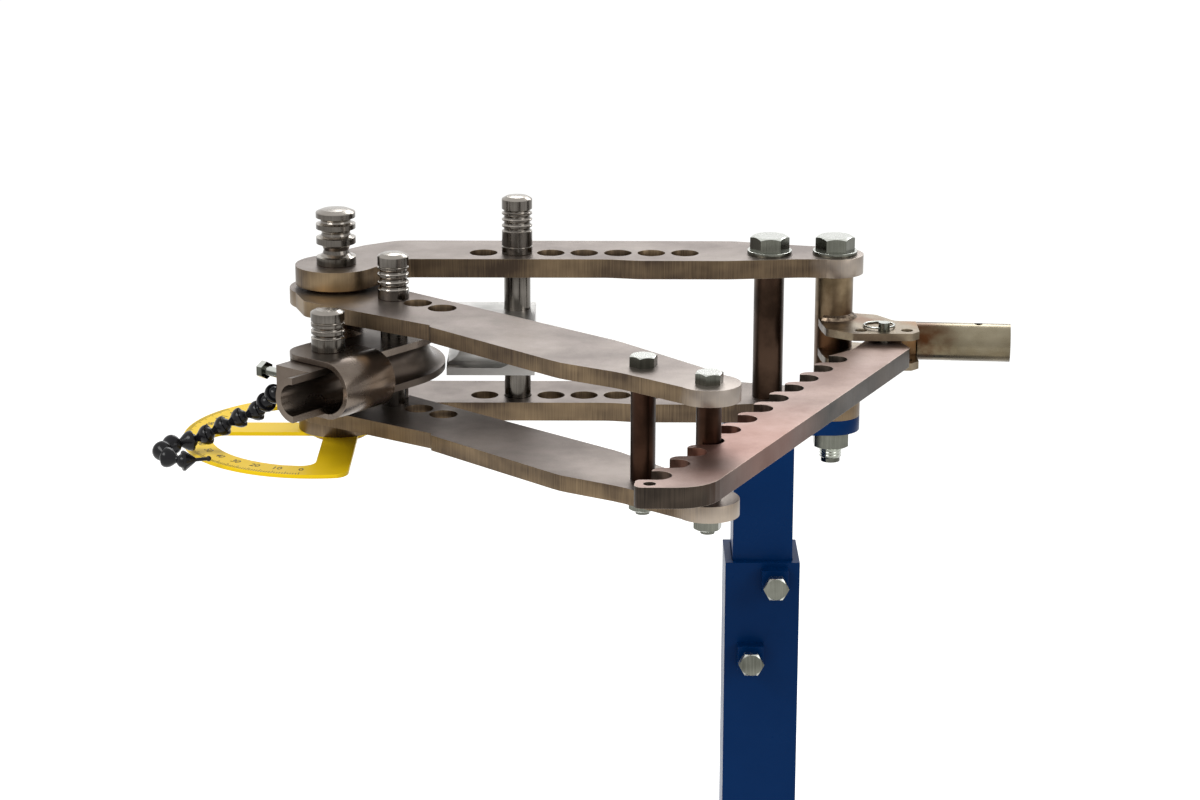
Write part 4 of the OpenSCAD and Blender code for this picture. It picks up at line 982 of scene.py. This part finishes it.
@dataclass
class DegreeRing:
    """Figures and marks of the degree ring.

    Args:
        centre_mm: The ring's middle from the king pin, in plan.
        middle_mm: Middle radius of the scale.
        outer_mm: Outer radius of the scale.
        top_mm: Height of the ring's top, from the king pin's zero.
        start_deg: Plan angle of the zero.
        step_deg: Plan angle from one figure to the next, clockwise.
        count: Number of figures.
        figure_mm: Type size of a figure.
        ink_mm: Thickness of the ink.
        mark_mm: Length and width of a mark.
        parts: Number of marks to a figure's step, one for each of its degrees.
        every: Every so many marks one is longer.
        longer: How much longer that one is, as a share.
    """

    centre_mm: tuple[float, float] = (-11.5, -21.5)
    middle_mm: float = 102.4
    outer_mm: float = 115.7
    top_mm: float = -139.9
    start_deg: float = 264.5
    step_deg: float = 11.2
    count: int = 12
    figure_mm: float = 8.75
    ink_mm: float = 0.12
    mark_mm: tuple[float, float] = (3.4, 0.45)
    parts: int = 10
    every: float = 5.0
    longer: float = 0.6

    def figures(self, ink: bpy.types.Material) -> bpy.types.Object:
        """Sets the figures round the ring.

        Args:
            ink: The ink's finish.

        Returns:
            One object with all the figures.
        """
        shape = bmesh.new()
        for i in range(self.count):
            curve = bpy.data.curves.new("figure", "FONT")
            curve.body = str(self.parts * i)
            curve.size = self.figure_mm * MM
            curve.align_x = "CENTER"
            curve.align_y = "CENTER"
            curve.extrude = self.ink_mm * MM / 2
            curve.resolution_u = 4
            mesh = settled(placed("figure", curve))
            turn = math.radians(self.start_deg - i * self.step_deg)
            place = at_king(self.centre_mm[0] + self.middle_mm * math.cos(turn),
                            self.centre_mm[1] + self.middle_mm * math.sin(turn),
                            self.top_mm + self.ink_mm / 2)
            mesh.transform(Matrix.Translation(place) @ Matrix.Rotation(turn + math.pi / 2, 4, "Z"))
            shape.from_mesh(mesh)
            bpy.data.meshes.remove(mesh)
        return finished("ring_figures", meshed("ring_figures", shape), ink, "dial")

    def marks(self, ink: bpy.types.Material) -> bpy.types.Object:
        """Sets the short marks along the outer edge with a node tree.

        Args:
            ink: The ink's finish.

        Returns:
            One object with all the marks.
        """
        tree = bpy.data.node_groups.new("ring_marks", "GeometryNodeTree")
        face = tree.interface
        face.new_socket("Geometry", in_out="OUTPUT", socket_type="NodeSocketGeometry")
        length, width = self.mark_mm
        sizes = {"Count": (self.count - 1) * self.parts + 1, "Radius": self.outer_mm * MM,
                 "Length": length * MM, "Width": width * MM, "Thickness": self.ink_mm * MM,
                 "Start": math.radians(self.start_deg), "Step": -math.radians(self.step_deg / self.parts)}
        kinds = {int: "NodeSocketInt", float: "NodeSocketFloat"}
        keys = {name: face.new_socket(name, in_out="INPUT", socket_type=kinds[type(value)]).identifier
                for name, value in sizes.items()}
        given = add_node(tree, "NodeGroupInput").outputs
        row = add_node(tree, "GeometryNodeMeshLine", {"Count": given["Count"], "Offset": (0.0, 0.0, 0.0)})
        index = add_node(tree, "GeometryNodeInputIndex").outputs[0]
        turned = maths(tree, "MULTIPLY_ADD", index, given["Step"], given["Start"])
        major = maths(tree, "LESS_THAN", maths(tree, "MODULO", index, self.every), 0.5)
        growth = maths(tree, "MULTIPLY_ADD", major, self.longer, 1.0)
        reach = maths(tree, "MULTIPLY", given["Length"], growth)
        middle = maths(tree, "MULTIPLY_ADD", reach, -0.5, given["Radius"])
        spot = add_node(tree, "ShaderNodeCombineXYZ", {
            "X": maths(tree, "MULTIPLY", maths(tree, "COSINE", turned), middle),
            "Y": maths(tree, "MULTIPLY", maths(tree, "SINE", turned), middle)})
        points = add_node(tree, "GeometryNodeSetPosition", {
            "Geometry": row.outputs["Mesh"], "Position": spot.outputs[0]})
        block = add_node(tree, "GeometryNodeMeshCube", {"Size": (1.0, 1.0, 1.0)})
        size = add_node(tree, "ShaderNodeCombineXYZ", {
            "X": reach, "Y": given["Width"], "Z": given["Thickness"]})
        facing = add_node(tree, "ShaderNodeCombineXYZ", {"Z": turned})
        copies = add_node(tree, "GeometryNodeInstanceOnPoints", {
            "Points": points.outputs["Geometry"], "Instance": block.outputs["Mesh"],
            "Rotation": facing.outputs[0], "Scale": size.outputs[0]})
        end_tree(tree, copies, ink)
        mesh = grown(tree, {keys[name]: value for name, value in sizes.items()})
        mesh.transform(Matrix.Translation(at_king(*self.centre_mm, self.top_mm + self.ink_mm / 2)))
        return finished("ring_marks", mesh, ink, "dial")


@dataclass(frozen=True)
class SoftBox:
    """One soft lamp.

    Args:
        name: Its name.
        place: Where it hangs, in metres.
        aim: What it points at, in metres.
        size: Its width and height in metres.
        power: Its power in watts.
    """

    name: str
    place: Point
    aim: Point
    size: tuple[float, float]
    power: float

    def hang(self) -> None:
        """Hangs the lamp."""
        data = bpy.data.lights.new(self.name, "AREA")
        data.shape = "RECTANGLE"
        data.size, data.size_y = self.size
        data.energy = self.power
        way = Vector(self.aim) - Vector(self.place)
        turn = way.to_track_quat("-Z", "Y").to_matrix().to_4x4()
        placed(self.name, data).matrix_world = Matrix.Translation(self.place) @ turn


@dataclass
class Studio:
    """Camera, floor, surround and lamps.

    Args:
        eye_mm: The camera's place from the king pin's top.
        pitch_deg: How far the camera looks down.
        yaw_deg: How far it looks to the right.
        roll_deg: How far its right side is raised.
        lens_mm: Focal length.
        sensor_mm: Width of the sensor.
        sight_m: How far the camera sees.
        floor_m: Half the floor's width.
        floor_glow: What is added to the floor where it is seen, to show it white.
        surround: The surround's light on the object.
        lamps: The soft boxes.
    """

    eye_mm: Point = (216.05, -2515.3, 599.0)
    pitch_deg: float = 15.88
    yaw_deg: float = 0.04
    roll_deg: float = 0.14
    lens_mm: float = 93.87
    sensor_mm: float = 36.0
    sight_m: float = 60.0
    floor_m: float = 14.0
    floor_glow: float = 0.6
    surround: float = 0.55
    lamps: tuple[SoftBox, ...] = (
        SoftBox("key", (-1.6, -1.4, 2.6), (-0.1, -0.1, 0.9), (1.4, 1.0), 42.0),
        SoftBox("fill", (2.0, -1.6, 1.9), (-0.1, -0.1, 0.85), (1.2, 1.2), 16.0),
        SoftBox("rim", (0.3, 1.8, 2.3), (-0.1, 0.0, 0.9), (1.8, 0.8), 22.0))

    def camera(self) -> None:
        """Sets the camera at the photograph's place."""
        data = bpy.data.cameras.new("camera")
        data.lens = self.lens_mm
        data.sensor_width = self.sensor_mm
        data.sensor_fit = "HORIZONTAL"
        data.clip_end = self.sight_m
        holder = placed("camera", data)
        turn = (Matrix.Rotation(-math.radians(self.yaw_deg), 4, "Z")
                @ Matrix.Rotation(math.radians(90 - self.pitch_deg), 4, "X")
                @ Matrix.Rotation(math.radians(self.roll_deg), 4, "Z"))
        holder.matrix_world = Matrix.Translation(at_king(*self.eye_mm)) @ turn
        bpy.context.scene.camera = holder

    @staticmethod
    def seen(tree: Tree) -> Socket:
        """Tells whether a surface is seen straight, in a reflection or through glass.

        Args:
            tree: The material's or surround's tree.

        Returns:
            1 where it is and 0 elsewhere.
        """
        path = add_node(tree, "ShaderNodeLightPath").outputs
        mirrored = maths(tree, "MAXIMUM", path["Is Camera Ray"], path["Is Glossy Ray"])
        return maths(tree, "MAXIMUM", mirrored, path["Is Transmission Ray"])

    def floor(self) -> None:
        """Lays a pale floor that keeps the shadow and shows white."""
        shape = bmesh.new()
        bmesh.ops.create_grid(shape, x_segments=1, y_segments=1, size=self.floor_m)
        mesh = meshed("floor", shape)
        ground = placed("floor", mesh)
        material = bpy.data.materials.new("pale_floor")
        material.use_nodes = True
        tree = material.node_tree
        tree.nodes.clear()
        glow = maths(tree, "MULTIPLY", self.seen(tree), self.floor_glow)
        matt = add_node(tree, "ShaderNodeBsdfDiffuse", {"Color": linear("#e9e9e7")})
        light = add_node(tree, "ShaderNodeEmission", {"Color": linear("#ffffff"), "Strength": glow})
        both = add_node(tree, "ShaderNodeAddShader", {0: matt.outputs[0], 1: light.outputs[0]})
        add_node(tree, "ShaderNodeOutputMaterial", {"Surface": both.outputs[0]})
        mesh.materials.append(material)

    def sky(self) -> None:
        """Sets an even pale surround that shows white to the camera and in reflections."""
        world = bpy.data.worlds.new("surround")
        bpy.context.scene.world = world
        world.use_nodes = True
        tree = world.node_tree
        tree.nodes.clear()
        strength = add_node(tree, "ShaderNodeMapRange", {
            "Value": self.seen(tree), "To Min": self.surround, "To Max": 1.0})
        back = add_node(tree, "ShaderNodeBackground", {
            "Color": linear("#ffffff"), "Strength": strength.outputs["Result"]})
        add_node(tree, "ShaderNodeOutputWorld", {"Surface": back.outputs[0]})

    def set_up(self) -> None:
        """Builds the whole studio."""
        self.camera()
        self.floor()
        self.sky()
        for lamp in self.lamps:
            lamp.hang()
        bpy.context.scene.view_settings.view_transform = "Standard"


def main() -> None:
    """Builds the studio and the machine's looks, piece by piece."""
    logging.basicConfig(level=logging.INFO, format="%(name)s: %(message)s")
    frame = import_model()
    Studio().set_up()
    shop = Workshop()
    shop.dress(frame["nodes"], frame["record"])
    thick = EdgeBreak(0.6, (
        "upper_frame_plate", "lower_frame_plate", "upper_swing_plate", "lower_swing_plate", "cap_plate",
        "follow_bar", "ratchet_bar"))
    thin = EdgeBreak(0.3, (
        "strap", "upper_lever_plate", "lower_lever_plate", "lever_block", "frame_washers", "degree_ring",
        "lock_nuts", "base_gussets", "outer_sleeve"))
    for edges in (thick, thin):
        edges.cut(frame["nodes"])
    BallHose().build(shop.kept["black_plastic"])
    for fastener in fasteners():
        fastener.build(shop.kept["zinc"])
    ring = DegreeRing()
    ring.figures(shop.kept["ring_ink"])
    ring.marks(shop.kept["ring_ink"])


if __name__ == "__main__":
    main()
